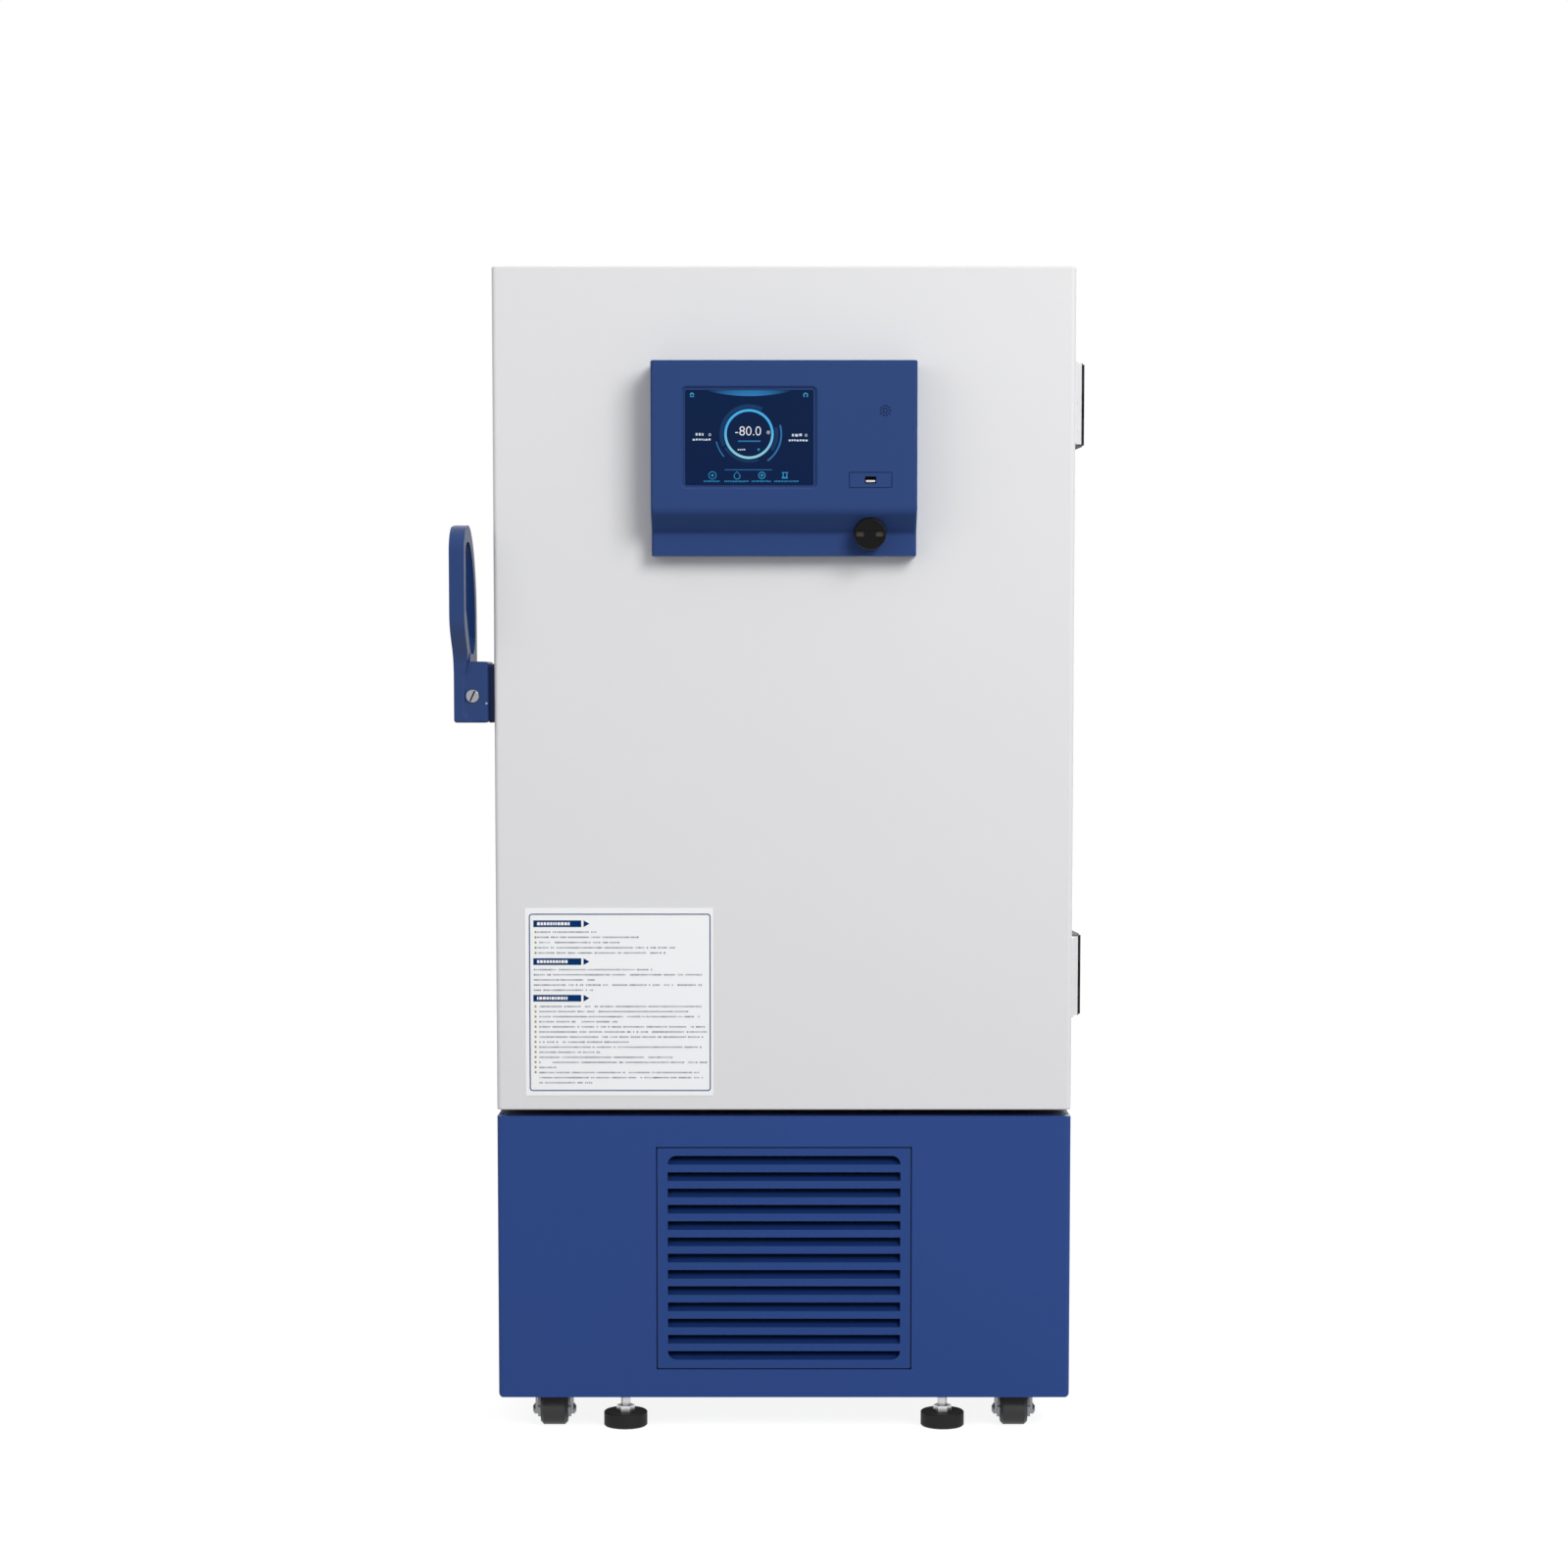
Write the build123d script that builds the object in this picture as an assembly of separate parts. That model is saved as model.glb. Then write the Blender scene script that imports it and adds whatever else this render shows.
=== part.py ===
from build123d import *

import os
from math import cos, pi, sin

# An upright ultra low temperature freezer on casters, piece by piece, in millimetres.
# Every piece is modelled from the middle of the door's front face at floor level, with +X to the
# right, +Y to the back and +Z up. The last step moves all of it to the middle of the whole
# object's box on the floor.

# Whole body
body_width = 968.0
overall_height = 1955.0
door_thickness = 100.0
door_gap = 12.0
cabinet_depth = 838.0
sheet = 1.5
seat_gap = 0.3
running_fit = 0.05

# Base
base_bottom = 59.0
base_top = 539.0
door_bottom_gap = 11.0
base_sheet = 2.0
base_corner = 8.0
base_return = 30.0
deck_thickness = 6.0
deck_lip = 40.0
pan_bottom = 80.0
pan_thickness = 4.0

# Front grille
grille_width = 427.5
grille_bottom = 109.0
grille_height = 376.0
grille_gap = 2.2
grille_plate = 3.0
slot_count = 13
slot_pitch = 27.8
slot_height = 15.0
slot_width = grille_width - 34.5
slot_corner = 14.4
first_slot_bottom = 14.4
blade_depth = 13.0
blade_rise = 10.0
blade_thickness = 1.6
collar_depth = 22.0
grille_axis_rise = 8.0
grille_pin_radius = 2.5

# Outer door
door_edge_radius = 8.0
door_rim_radius = 3.0
door_skin = 1.5
inner_panel_thickness = 3.0
plug_reach = 18.0
plug_margin = 8.0
gasket_width = 30.0
gasket_margin = 14.0

# Cabinet walls and liner
side_wall = 109.0
top_wall = 80.0
floor_wall = 81.0
liner_depth = cabinet_depth - 148.0
liner_sheet = 2.0
recess_margin = 23.0
recess_depth = 48.0
breaker_sheet = 4.0
front_flange = 54.0
coil_tube_radius = 4.75
coil_header_radius = 5.75
coil_runs = 7

# Shelves
shelf_count = 3
shelf_sheet = 2.0
shelf_lip = 24.0
shelf_side_gap = 3.0
rail_height = 14.0
rail_reach = 12.0

# Inner doors
inner_door_side_gap = 4.0
inner_door_front_gap = 4.0
inner_door_thickness = 30.0
inner_door_middle_gap = 10.0
inner_door_pin_radius = 3.0
inner_door_pin_inset = 4.0
inner_pull_width = 34.0
inner_pull_height = 150.0
inner_pull_depth = 14.0

# Control housing
console_width = 437.5
console_top = overall_height - 160
console_bottom = overall_height - 477
console_reach = 70.0
console_ledge_reach = 32.0
console_face_bottom = overall_height - 407
console_ledge_top = overall_height - 441
console_brow_radius = 18.0
console_edge_radius = 5.0
screen_left = -168.5
screen_right = 54.6
screen_top = overall_height - 202
screen_bottom = overall_height - 370
screen_rim = 6.2
screen_recess = 9.0
screen_slope = 3.6
screen_corner = 9.0
glass_sink = 1.2
usb_centre_x = 142.0
usb_centre_z = overall_height - 355
usb_width = 71.0
usb_height = 26.0
usb_socket_width = 18.6
usb_socket_height = 11.4
usb_depth = 14.0
buzzer_x = 165.8
buzzer_z = overall_height - 242.2
buzzer_ring_radius = 8.0
buzzer_inner_radius = 3.6
buzzer_hole_radius = 1.45
buzzer_depth = 5.0

# Rotary knob
knob_x = 142.0
knob_z = overall_height - 442
knob_radius = 26.0
knob_length = 29.0
knob_clearance = 0.7
knob_shaft_radius = 5.0
knob_shaft_length = 14.0
knob_trough = 9.6
knob_trough_depth = 5.0
knob_bar_width = 18.5

# Lever handle
handle_reach = 68.0
grip_width = 25.0
grip_front = -58.0
grip_rear = 92.0
grip_rear_shift = 6.5
grip_top = overall_height - 426
grip_crown_y = -5.0
grip_nose = 45.0
grip_shoulder = overall_height - 585
grip_knee = overall_height - 570
grip_limb = 20.0
grip_corner = 9.0
grip_lean_rise = 66.0
grip_overlap = 20.0
hand_drop = 27.0
hand_corner = 34.0
hand_knee_rise = 6.0
hand_heel = 12.0
hand_heel_inset = 4.0
hub_width = 57.0
hub_bottom = overall_height - 753.5
hub_top = overall_height - 651.5
hub_front = -12.0
hub_rear = 92.0
hub_round = 16.0
hub_bar = 19.5
hub_recess = 6.0
hub_recess_rim = 4.0
hub_recess_corner = 20.0
handle_axis_y = 40.0
handle_axis_z = overall_height - 702.5
handle_pin_radius = 8.0
bracket_thickness = 8.5
bracket_setback = 18.0
bracket_tail = 4.0
bracket_drop = 4.0
bracket_corner = 6.0
lock_radius = 10.8
lock_length = 24.0
lock_inset = 30.5
lock_drop = 6.5
lock_slot = 2.6
lock_slot_turn = -66.0

# Latch
hook_thickness = 8.0
hook_height = 26.0
hook_reach = 62.0
striker_pin_radius = 6.0
striker_setback = 26.0
striker_pin_length = 26.0
hook_clearance = 1.5

# Hinges
hinge_offset = 12.0
knuckle_radius = 11.5
hinge_pin_radius = 4.0
hinge_leaf_height = 135.0
hinge_leaf_thickness = 6.5
hinge_leaf_length = 58.0
hinge_cheek_reach = 18.0
hinge_cheek_depth = 18.0
hinge_body_length = 86.0
hinge_body_knee = 20.0
upper_hinge_bottom = overall_height - 287
lower_hinge_bottom = base_top + 163.5
knuckle_gap = 0.6

# Rear of the cabinet
bumper_reach = 20.0
bumper_width = 44.0
bumper_height = 150.0
bumper_x = body_width / 2 - 84.0
bumper_z = overall_height - 255

# Casters
caster_x = body_width / 2 - 91.0
caster_setback = 82.0
wheel_radius = 27.0
wheel_width = 46.0
wheel_chamfer = 5.0
wheel_bore = 6.0
caster_trail = 25.0
fork_leg = 5.0
fork_shoulder = 4.0
fork_shoulder_drop = 6.0
fork_leg_radius = 14.0
fork_crown_radius = 30.0
fork_crown_bottom = 60.0
fork_crown_plate = 4.0
caster_pad = 4.0
axle_nut = 8.5
kingpin_radius = 6.0

# Levelling feet
foot_x = body_width / 2 - 213.0
foot_setback = 50.0
foot_radius = 37.0
foot_height = 25.0
foot_stem_radius = 8.0
foot_stem_top = 112.0
foot_nut_radius = 15.5
foot_nut_height = 10.0

# Machine compartment
filter_margin = 7.0
filter_depth = 15.0
condenser_width = 400.0
condenser_height = base_top - 209.0
condenser_depth = 40.0
condenser_foot = 40.0
condenser_front = 62.0
condenser_fin_pitch = 10.0
condenser_fin_depth = 5.0
fan_radius = 112.0
fan_tip_gap = 6.0
fan_blades = 5
fan_depth = 24.0
fan_hub_radius = 26.0
shroud_depth = 46.0
motor_radius = 38.0
motor_length = 70.0
motor_shaft_radius = 4.0
compressor_radius = 98.0
compressor_height = 250.0
compressor_setback = 350.0
compressor_x = 175.0
pipe_radius = 5.0
pipe_run = 190.0
box_width = 146.0
box_depth = 250.0
box_height = 190.0
box_side_gap = 44.0
box_setback = 50.0
gland_radius = 14.0

# Worked out from the sizes above
half = body_width / 2
coil_space = 2 * coil_header_radius + 2 * seat_gap
cabinet_front = door_thickness + door_gap
cabinet_back = cabinet_front + cabinet_depth
compressor_y = cabinet_back - compressor_setback
door_bottom = base_top + door_bottom_gap
inside_half = half - side_wall
inside_floor = base_top + floor_wall
inside_ceiling = overall_height - top_wall
liner_front = cabinet_front + recess_depth
liner_back = liner_front + liner_depth
recess_half = inside_half + recess_margin
recess_floor = inside_floor - recess_margin
recess_ceiling = inside_ceiling + recess_margin
hinge_axis_x = half + hinge_offset
hinge_axis_y = door_thickness + door_gap / 2
inner_door_front = door_thickness + plug_reach + inner_door_front_gap
inner_door_half = recess_half - inner_door_side_gap
inner_axis_x = inner_door_half - inner_door_pin_inset
inner_axis_y = inner_door_front + inner_door_pin_inset
middle_z = (inside_floor + inside_ceiling) / 2
grille_top = grille_bottom + grille_height
grille_axis_z = grille_bottom + grille_axis_rise
grille_axis_y = grille_plate / 2
knob_front = -console_ledge_reach - seat_gap - knob_length
lock_z = handle_axis_z - lock_drop
hub_right = -half - bracket_thickness - seat_gap
hub_left = hub_right - hub_width
lock_x = hub_left + lock_inset
pan_top = pan_bottom + pan_thickness
wheel_z = wheel_radius
striker_y = cabinet_front + striker_setback
left_reach = half + handle_reach
right_reach = half + hinge_offset + knuckle_radius
middle_x = (left_reach - right_reach) / 2
whole_depth = console_reach + cabinet_back + bumper_reach
front_y = console_reach - whole_depth / 2
to_middle = Location((middle_x, front_y, 0))


def block(x_low, x_high, y_low, y_high, z_low, z_high):
    """A block between two corners."""
    size = Box(x_high - x_low, y_high - y_low, z_high - z_low, align=(Align.MIN,) * 3)
    return Pos(x_low, y_low, z_low) * size


def rod_x(x_low, x_high, y, z, radius):
    """A round bar along X."""
    return Pos((x_low + x_high) / 2, y, z) * Rot(0, 90, 0) * Cylinder(radius, x_high - x_low)


def rod_y(y_low, y_high, x, z, radius):
    """A round bar along Y."""
    return Pos(x, (y_low + y_high) / 2, z) * Rot(90, 0, 0) * Cylinder(radius, y_high - y_low)


def rod_z(z_low, z_high, x, y, radius):
    """A round bar along Z."""
    return Pos(x, y, (z_low + z_high) / 2) * Cylinder(radius, z_high - z_low)


def across(profile, x_low, x_high):
    """A side profile, drawn in Y and Z, stretched along X."""
    return extrude(Plane.YZ.offset(x_low) * profile, amount=x_high - x_low)


def backwards(profile, y_low, y_high):
    """A front profile, drawn in X and Z, stretched along Y."""
    return extrude(Plane.XZ.offset(-y_low) * profile, amount=y_low - y_high)


def upwards(profile, z_low, z_high):
    """A plan, drawn in X and Y, stretched along Z."""
    return extrude(Plane.XY.offset(z_low) * profile, amount=z_high - z_low)


def outline(*points):
    """A flat face with straight sides."""
    return make_face(Polyline(*points, close=True))


def rounded(x_low, x_high, z_low, z_high, radius):
    """A rounded rectangle between two corners."""
    centre = Pos((x_low + x_high) / 2, (z_low + z_high) / 2)
    return centre * RectangleRounded(x_high - x_low, z_high - z_low, radius)


def mirrored_x(shape):
    """The same piece on the other side of the body."""
    return mirror(shape, about=Plane.YZ)


def mirrored_z(shape, height):
    """The same piece turned over at a height."""
    return mirror(shape, about=Plane.XY.offset(height))


# Cabinet


def side_panel_right():
    """One folded sheet: the side, with a flange that turns in along the front for the gasket."""
    plan = outline(
        (half, cabinet_front),
        (half, cabinet_back - sheet - seat_gap),
        (half - sheet, cabinet_back - sheet - seat_gap),
        (half - sheet, cabinet_front + sheet),
        (half - front_flange, cabinet_front + sheet),
        (half - front_flange, cabinet_front),
    )
    return upwards(plan, base_top, overall_height)


def top_panel():
    """The lid sheet, with a flange that turns down along the front between the side flanges."""
    flange_bottom = recess_ceiling + breaker_sheet + seat_gap
    lid = block(-half + sheet + seat_gap, half - sheet - seat_gap, cabinet_front + sheet + seat_gap,
                cabinet_back, overall_height - sheet, overall_height)
    reach = half - front_flange - seat_gap
    flange = block(-reach, reach, cabinet_front, cabinet_front + sheet, flange_bottom, overall_height)
    bridge = block(-reach, reach, cabinet_front, cabinet_front + 2 * sheet, overall_height - sheet,
                   overall_height)
    return lid + flange + bridge


def back_panel():
    """The rear sheet, stiffened by two shallow pressed ribs."""
    back = block(-half, half, cabinet_back - sheet, cabinet_back, base_top,
                 overall_height - sheet - seat_gap)
    return back


def cabinet_insulation():
    """Foam between the outer sheets and the liner, with room for the evaporator tube."""
    inset = sheet + seat_gap
    foam = block(-half + inset, half - inset, cabinet_front + breaker_sheet + seat_gap,
                 cabinet_back - inset, base_top + seat_gap, overall_height - inset)
    sleeve = breaker_sheet + seat_gap
    recess = block(-recess_half - sleeve, recess_half + sleeve, cabinet_front,
                   liner_front + liner_sheet + seat_gap, recess_floor - sleeve, recess_ceiling + sleeve)
    room = liner_sheet + coil_space
    cavity = block(-inside_half - room, inside_half + room, liner_front,
                   liner_back + room, inside_floor - room, inside_ceiling + room)
    return foam - recess - cavity


def inner_liner():
    """The folded steel tank, with a flange at its mouth where the inner doors seal."""
    outer = block(-inside_half - liner_sheet, inside_half + liner_sheet, liner_front,
                  liner_back + liner_sheet, inside_floor - liner_sheet, inside_ceiling + liner_sheet)
    flange = block(-recess_half, recess_half, liner_front, liner_front + liner_sheet, recess_floor,
                   recess_ceiling)
    tank = block(-inside_half, inside_half, liner_front - liner_sheet, liner_back, inside_floor,
                 inside_ceiling)
    return outer + flange - tank


def evaporator_coil():
    """Tube in flat turns round three sides of the liner, joined by a header at each front end."""
    reach = inside_half + liner_sheet + seat_gap + coil_header_radius
    front = liner_front + liner_sheet + 4 * coil_tube_radius
    back = liner_back + liner_sheet + seat_gap + coil_header_radius
    bend = reach - inside_half - liner_sheet
    low = inside_floor + recess_margin
    step = (inside_ceiling - inside_floor - 2 * recess_margin) / (coil_runs - 1)
    path = FilletPolyline((-reach, front), (-reach, back), (reach, back), (reach, front), radius=bend)
    turn = sweep(Plane(path @ 0, z_dir=path % 0) * Circle(coil_tube_radius), path)
    top = low + step * (coil_runs - 1)
    ends = (low - coil_header_radius, top + coil_header_radius)
    headers = [rod_z(*ends, side * reach, front, coil_header_radius) for side in (-1, 1)]
    shape = [Pos(0, 0, low + step * count) * turn for count in range(coil_runs)]
    return Part() + headers + shape


def breaker_frame():
    """The moulded frame round the mouth: a face ring, a sleeve and the bearings of the inner doors."""
    ring = block(-half + front_flange + seat_gap, half - front_flange - seat_gap, cabinet_front,
                 cabinet_front + breaker_sheet, base_top + seat_gap, recess_ceiling + breaker_sheet)
    sleeve = block(-recess_half - breaker_sheet, recess_half + breaker_sheet, cabinet_front,
                   liner_front + liner_sheet, recess_floor - breaker_sheet,
                   recess_ceiling + breaker_sheet)
    mouth = block(-recess_half - seat_gap, recess_half + seat_gap, liner_front - seat_gap,
                  liner_front + 2 * liner_sheet, recess_floor - seat_gap, recess_ceiling + seat_gap)
    space = block(-recess_half, recess_half, cabinet_front - 1, liner_front, recess_floor,
                  recess_ceiling)
    bearing_half = inner_door_middle_gap / 2 - inner_door_side_gap / 2
    bearing = block(inner_axis_x - 3 * inner_door_pin_radius, recess_half + breaker_sheet / 2,
                    inner_door_front, inner_axis_y + 3 * inner_door_pin_radius,
                    middle_z - bearing_half, middle_z + bearing_half)
    bore = rod_z(recess_floor - 2 * breaker_sheet, recess_ceiling + 2 * breaker_sheet, inner_axis_x,
                 inner_axis_y, inner_door_pin_radius + running_fit)
    return ring + sleeve - mouth - space + bearing - bore


def shelf(height):
    """A pressed shelf with turned-down front and rear lips, at a height."""
    reach = inside_half - shelf_side_gap
    front = liner_front + liner_sheet
    back = liner_back - shelf_side_gap
    side = outline(
        (front, height),
        (back, height),
        (back, height - shelf_lip / 2),
        (back - shelf_sheet, height - shelf_lip / 2),
        (back - shelf_sheet, height - shelf_sheet),
        (front + shelf_sheet, height - shelf_sheet),
        (front + shelf_sheet, height - shelf_lip),
        (front, height - shelf_lip),
    )
    return across(side, -reach, reach)


def shelf_heights():
    """The shelves part the inside into equal compartments."""
    step = (inside_ceiling - inside_floor) / (shelf_count + 1)
    return [inside_floor + step * (count + 1) for count in range(shelf_count)]


def shelf_rails():
    """Folded angles on both liner walls, one pair under each shelf."""
    front = liner_front + liner_sheet + shelf_lip
    back = liner_back - shelf_lip
    shape = []
    for height in shelf_heights():
        top = height - shelf_sheet - seat_gap
        corner = outline(
            (inside_half - seat_gap, top),
            (inside_half - rail_reach, top),
            (inside_half - rail_reach, top - shelf_sheet),
            (inside_half - shelf_sheet - seat_gap, top - shelf_sheet),
            (inside_half - shelf_sheet - seat_gap, top - rail_height),
            (inside_half - seat_gap, top - rail_height),
        )
        rail = backwards(corner, front, back)
        shape += [rail, mirrored_x(rail)]
    return Compound(shape)


def latch_striker():
    """The keeper on the cabinet's left side: a pressed plate with a stout round pin."""
    plate_half = 4 * striker_pin_radius
    face = rounded(striker_y - plate_half / 2, striker_y + 2 * plate_half, handle_axis_z - plate_half,
                   handle_axis_z + plate_half, striker_pin_radius)
    plate = across(face, -half - hinge_leaf_thickness / 2, -half)
    pin_z = handle_axis_z - striker_pin_radius
    boss = rod_x(-half - 2 * hinge_leaf_thickness, -half, striker_y, pin_z, 2 * striker_pin_radius)
    pin = rod_x(-half - striker_pin_length - 2 * hinge_leaf_thickness, -half, striker_y, pin_z,
                striker_pin_radius)
    return plate + boss + pin


def rear_bumpers():
    """Moulded spacers that keep the back clear of the wall."""
    y_low = cabinet_back
    face = Pos(bumper_x, bumper_z) * RectangleRounded(bumper_width, bumper_height, bumper_width / 3)
    one = extrude(Plane.XZ.offset(-y_low) * face, amount=-bumper_reach, taper=8)
    return Compound([one, mirrored_x(one)])


# Hinges


def knuckle(z_low, z_high, side):
    """One barrel round the pin, with the web that joins it to a leaf in front (-1) or behind (1)."""
    barrel = rod_z(z_low, z_high, hinge_axis_x, hinge_axis_y, knuckle_radius)
    reach = hinge_axis_y + side * (knuckle_radius + 3 * knuckle_gap)
    low, high = sorted((hinge_axis_y, reach))
    web = block(half, hinge_axis_x, low, high, z_low, z_high)
    bore = rod_z(z_low - 1, z_high + 1, hinge_axis_x, hinge_axis_y, hinge_pin_radius + running_fit)
    return barrel + web - bore


def knuckle_heights(bottom):
    """Where the middle barrel of a hinge starts and ends."""
    third = hinge_leaf_height / 3
    return bottom + third, bottom + 2 * third


def hinge_door_leaf(bottom):
    """The leaf on the door's side, with the middle barrel and the cheek that hides the barrels."""
    top = bottom + hinge_leaf_height
    back = door_thickness
    cheek_back = hinge_axis_y - knuckle_radius - 2 * knuckle_gap
    leaf = block(half, half + hinge_leaf_thickness, back - hinge_leaf_length, cheek_back, bottom, top)
    cheek = block(half, half + hinge_cheek_reach, cheek_back - hinge_cheek_depth, cheek_back, bottom, top)
    cheek = fillet(cheek.edges().filter_by(Axis.Z).sort_by(Axis.X)[-2:], 4)
    low, high = knuckle_heights(bottom)
    return leaf + cheek + knuckle(low + knuckle_gap, high - knuckle_gap, -1)


def hinge_cabinet_leaf(bottom):
    """The cast body on the cabinet's side, thickest near the pin, with the two outer barrels."""
    top = bottom + hinge_leaf_height
    front = hinge_axis_y + knuckle_radius + 2 * knuckle_gap
    back = front + hinge_body_length
    plan = outline((half, front), (half + hinge_cheek_reach, front), (right_reach, front + hinge_body_knee),
                   (half + hinge_cheek_reach, back), (half, back))
    body = upwards(plan, bottom, top)
    body = fillet(body.edges().filter_by(Axis.Z).sort_by(Axis.X)[2:], 4)
    low, high = knuckle_heights(bottom)
    barrels = knuckle(bottom, low, 1) + knuckle(high, top, 1)
    pin = rod_z(bottom, top, hinge_axis_x, hinge_axis_y, hinge_pin_radius)
    pressed = hinge_pin_radius + 2 * running_fit
    ends = [rod_z(bottom, low, hinge_axis_x, hinge_axis_y, pressed),
            rod_z(high, top, hinge_axis_x, hinge_axis_y, pressed)]
    return body + barrels + pin + ends


# Outer door


def door_solid(inset, rim):
    """The door's outline, shrunk by an inset, with its front upright edges rounded."""
    body = block(-half + inset, half - inset, inset, door_thickness, door_bottom + inset,
                 overall_height - inset)
    body = fillet(body.edges().filter_by(Axis.Z).sort_by(Axis.Y)[:2], door_edge_radius - inset)
    if rim:
        body = fillet(body.edges().filter_by(Axis.X).sort_by(Axis.Y)[:2], rim)
    return body


def door_outer_skin():
    """The drawn steel pan of the door."""
    return door_solid(0, door_rim_radius) - door_solid(door_skin, 0)


def door_insulation():
    """Foam that fills the pan up to the inner panel."""
    foam = door_solid(door_skin + seat_gap, 0)
    depth = door_thickness - inner_panel_thickness - seat_gap
    return foam & block(-half, half, 0, depth, door_bottom, overall_height)


def door_inner_panel():
    """The formed plastic back of the door, with the plug that enters the mouth of the cabinet."""
    inset = door_skin + seat_gap
    plate = block(-half + inset, half - inset, door_thickness - inner_panel_thickness, door_thickness,
                  door_bottom + inset, overall_height - inset)
    plug_face = rounded(-recess_half + plug_margin, recess_half - plug_margin,
                        recess_floor + plug_margin, recess_ceiling - plug_margin, 3 * plug_margin)
    sketch = Plane.XZ.offset(-door_thickness) * plug_face
    plug = extrude(sketch, amount=-plug_reach, taper=12)
    return plate + plug


def door_gasket():
    """The magnetic gasket, a simple closed ring that meets the cabinet front."""
    reach = half - gasket_margin
    low = door_bottom + gasket_margin
    high = overall_height - gasket_margin
    ring = rounded(-reach, reach, low, high, gasket_width) - rounded(
        -reach + gasket_width, reach - gasket_width, low + gasket_width, high - gasket_width,
        gasket_width / 3)
    return backwards(ring, door_thickness + seat_gap, cabinet_front - seat_gap)


def screen_outline(inset):
    """The rounded outline of the screen's recess, drawn in from its edge on the face."""
    return rounded(screen_left + inset, screen_right - inset, screen_bottom + inset, screen_top - inset,
                   screen_corner - inset)


def control_housing():
    """The moulded housing: a tall flat face, a brow that curls back, and a ledge under it."""
    side = outline(
        (0, console_top),
        (-console_reach, console_top),
        (-console_reach, console_face_bottom),
        (-console_ledge_reach, console_ledge_top),
        (-console_ledge_reach, console_bottom),
        (0, console_bottom),
    )
    brow = side.vertices().sort_by_distance((-console_reach, console_face_bottom, 0))[0]
    side = fillet(brow, console_brow_radius)
    root = side.vertices().sort_by_distance((-console_ledge_reach, console_ledge_top, 0))[0]
    side = fillet(root, console_brow_radius / 2)
    body = across(side, -console_width / 2, console_width / 2)
    fronts = body.edges().filter_by(Axis.Z).group_by(Axis.Y)[0]
    body = fillet(fronts, console_edge_radius)
    upper = body.edges().filter_by(Axis.X).group_by(Axis.Z)[-1].sort_by(Axis.Y)[0]
    body = chamfer(upper, 2)
    pocket = screen_outline(screen_slope)
    flare = loft([Plane.XZ.offset(console_reach) * screen_outline(0),
                  Plane.XZ.offset(console_reach - screen_slope) * pocket])
    body = body - flare - backwards(pocket, -console_reach - 1, -console_reach + screen_recess)
    plate = Pos(usb_centre_x, usb_centre_z) * RectangleRounded(usb_width, usb_height, 2.5)
    body -= backwards(plate, -console_reach - 1, -console_reach + usb_depth)
    knob_room = rod_y(-console_reach - 1, -console_ledge_reach, knob_x, knob_z,
                      knob_radius + knob_clearance)
    shaft_room = rod_y(-console_ledge_reach - 1, -console_ledge_reach + knob_shaft_length + 1, knob_x,
                       knob_z, knob_shaft_radius + running_fit)
    body = body - knob_room - shaft_room
    for ring_radius, holes in ((buzzer_ring_radius, 10), (buzzer_inner_radius, 5)):
        for count in range(holes):
            angle = 2 * pi * count / holes
            body -= rod_y(-console_reach - 1, -console_reach + buzzer_depth,
                          buzzer_x + ring_radius * cos(angle), buzzer_z + ring_radius * sin(angle),
                          buzzer_hole_radius)
    return body


def screen_bezel():
    """The rim that holds the glass at the foot of the recess."""
    gap = seat_gap / 2
    outer = screen_outline(screen_slope + gap)
    inner = rounded(screen_left + screen_rim, screen_right - screen_rim, screen_bottom + screen_rim,
                    screen_top - screen_rim, screen_rim / 2)
    ring = backwards(outer - inner, -console_reach + screen_slope, -console_reach + screen_recess - gap)
    return chamfer(ring.faces().sort_by(Axis.Y)[0].outer_wire().edges(), 0.6)


def touch_screen():
    """The glass panel with its backing, a little below the rim."""
    gap = screen_rim + seat_gap / 2
    face = rounded(screen_left + gap, screen_right - gap, screen_bottom + gap, screen_top - gap,
                   screen_rim / 2)
    front = -console_reach + screen_slope + glass_sink
    return backwards(face, front, -console_reach + screen_recess - seat_gap / 2)


def usb_port():
    """The cover plate, let in flush, with the open socket behind it and the tongue inside."""
    gap = seat_gap / 2
    front = -console_reach + seat_gap
    back = -console_reach + usb_depth - gap
    outer = RectangleRounded(usb_width - 2 * gap, usb_height - 2 * gap, 2.4)
    face = Pos(usb_centre_x, usb_centre_z) * outer
    mouth = Pos(usb_centre_x, usb_centre_z) * RectangleRounded(usb_socket_width, usb_socket_height, 1)
    plate = backwards(face, front, back) - backwards(mouth, front - 1, back - 2)
    tongue = block(usb_centre_x - usb_socket_width / 2 + 2, usb_centre_x + usb_socket_width / 2 - 2,
                   front + 1.5, back - 2, usb_centre_z - usb_socket_height / 4,
                   usb_centre_z + usb_socket_height / 12)
    return plate + tongue


def control_knob():
    """A round knob with a trough across its face, a raised bar in the trough and a shaft behind."""
    back = -console_ledge_reach - seat_gap
    body = rod_y(knob_front, back, knob_x, knob_z, knob_radius)
    body = fillet(body.edges().sort_by(Axis.Y)[0], 2.5)
    trough = block(knob_x - knob_radius + 3, knob_x + knob_radius - 3, knob_front - 1,
                   knob_front + knob_trough_depth, knob_z - knob_trough / 2, knob_z + knob_trough / 2)
    bar = block(knob_x - knob_bar_width / 2, knob_x + knob_bar_width / 2, knob_front + 1,
                knob_front + knob_trough_depth + 1, knob_z - knob_trough / 2, knob_z + knob_trough / 2)
    shaft = rod_y(back - 1, -console_ledge_reach + knob_shaft_length, knob_x, knob_z, knob_shaft_radius)
    return body - trough + bar + shaft


# Lever handle, lock and latch


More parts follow.
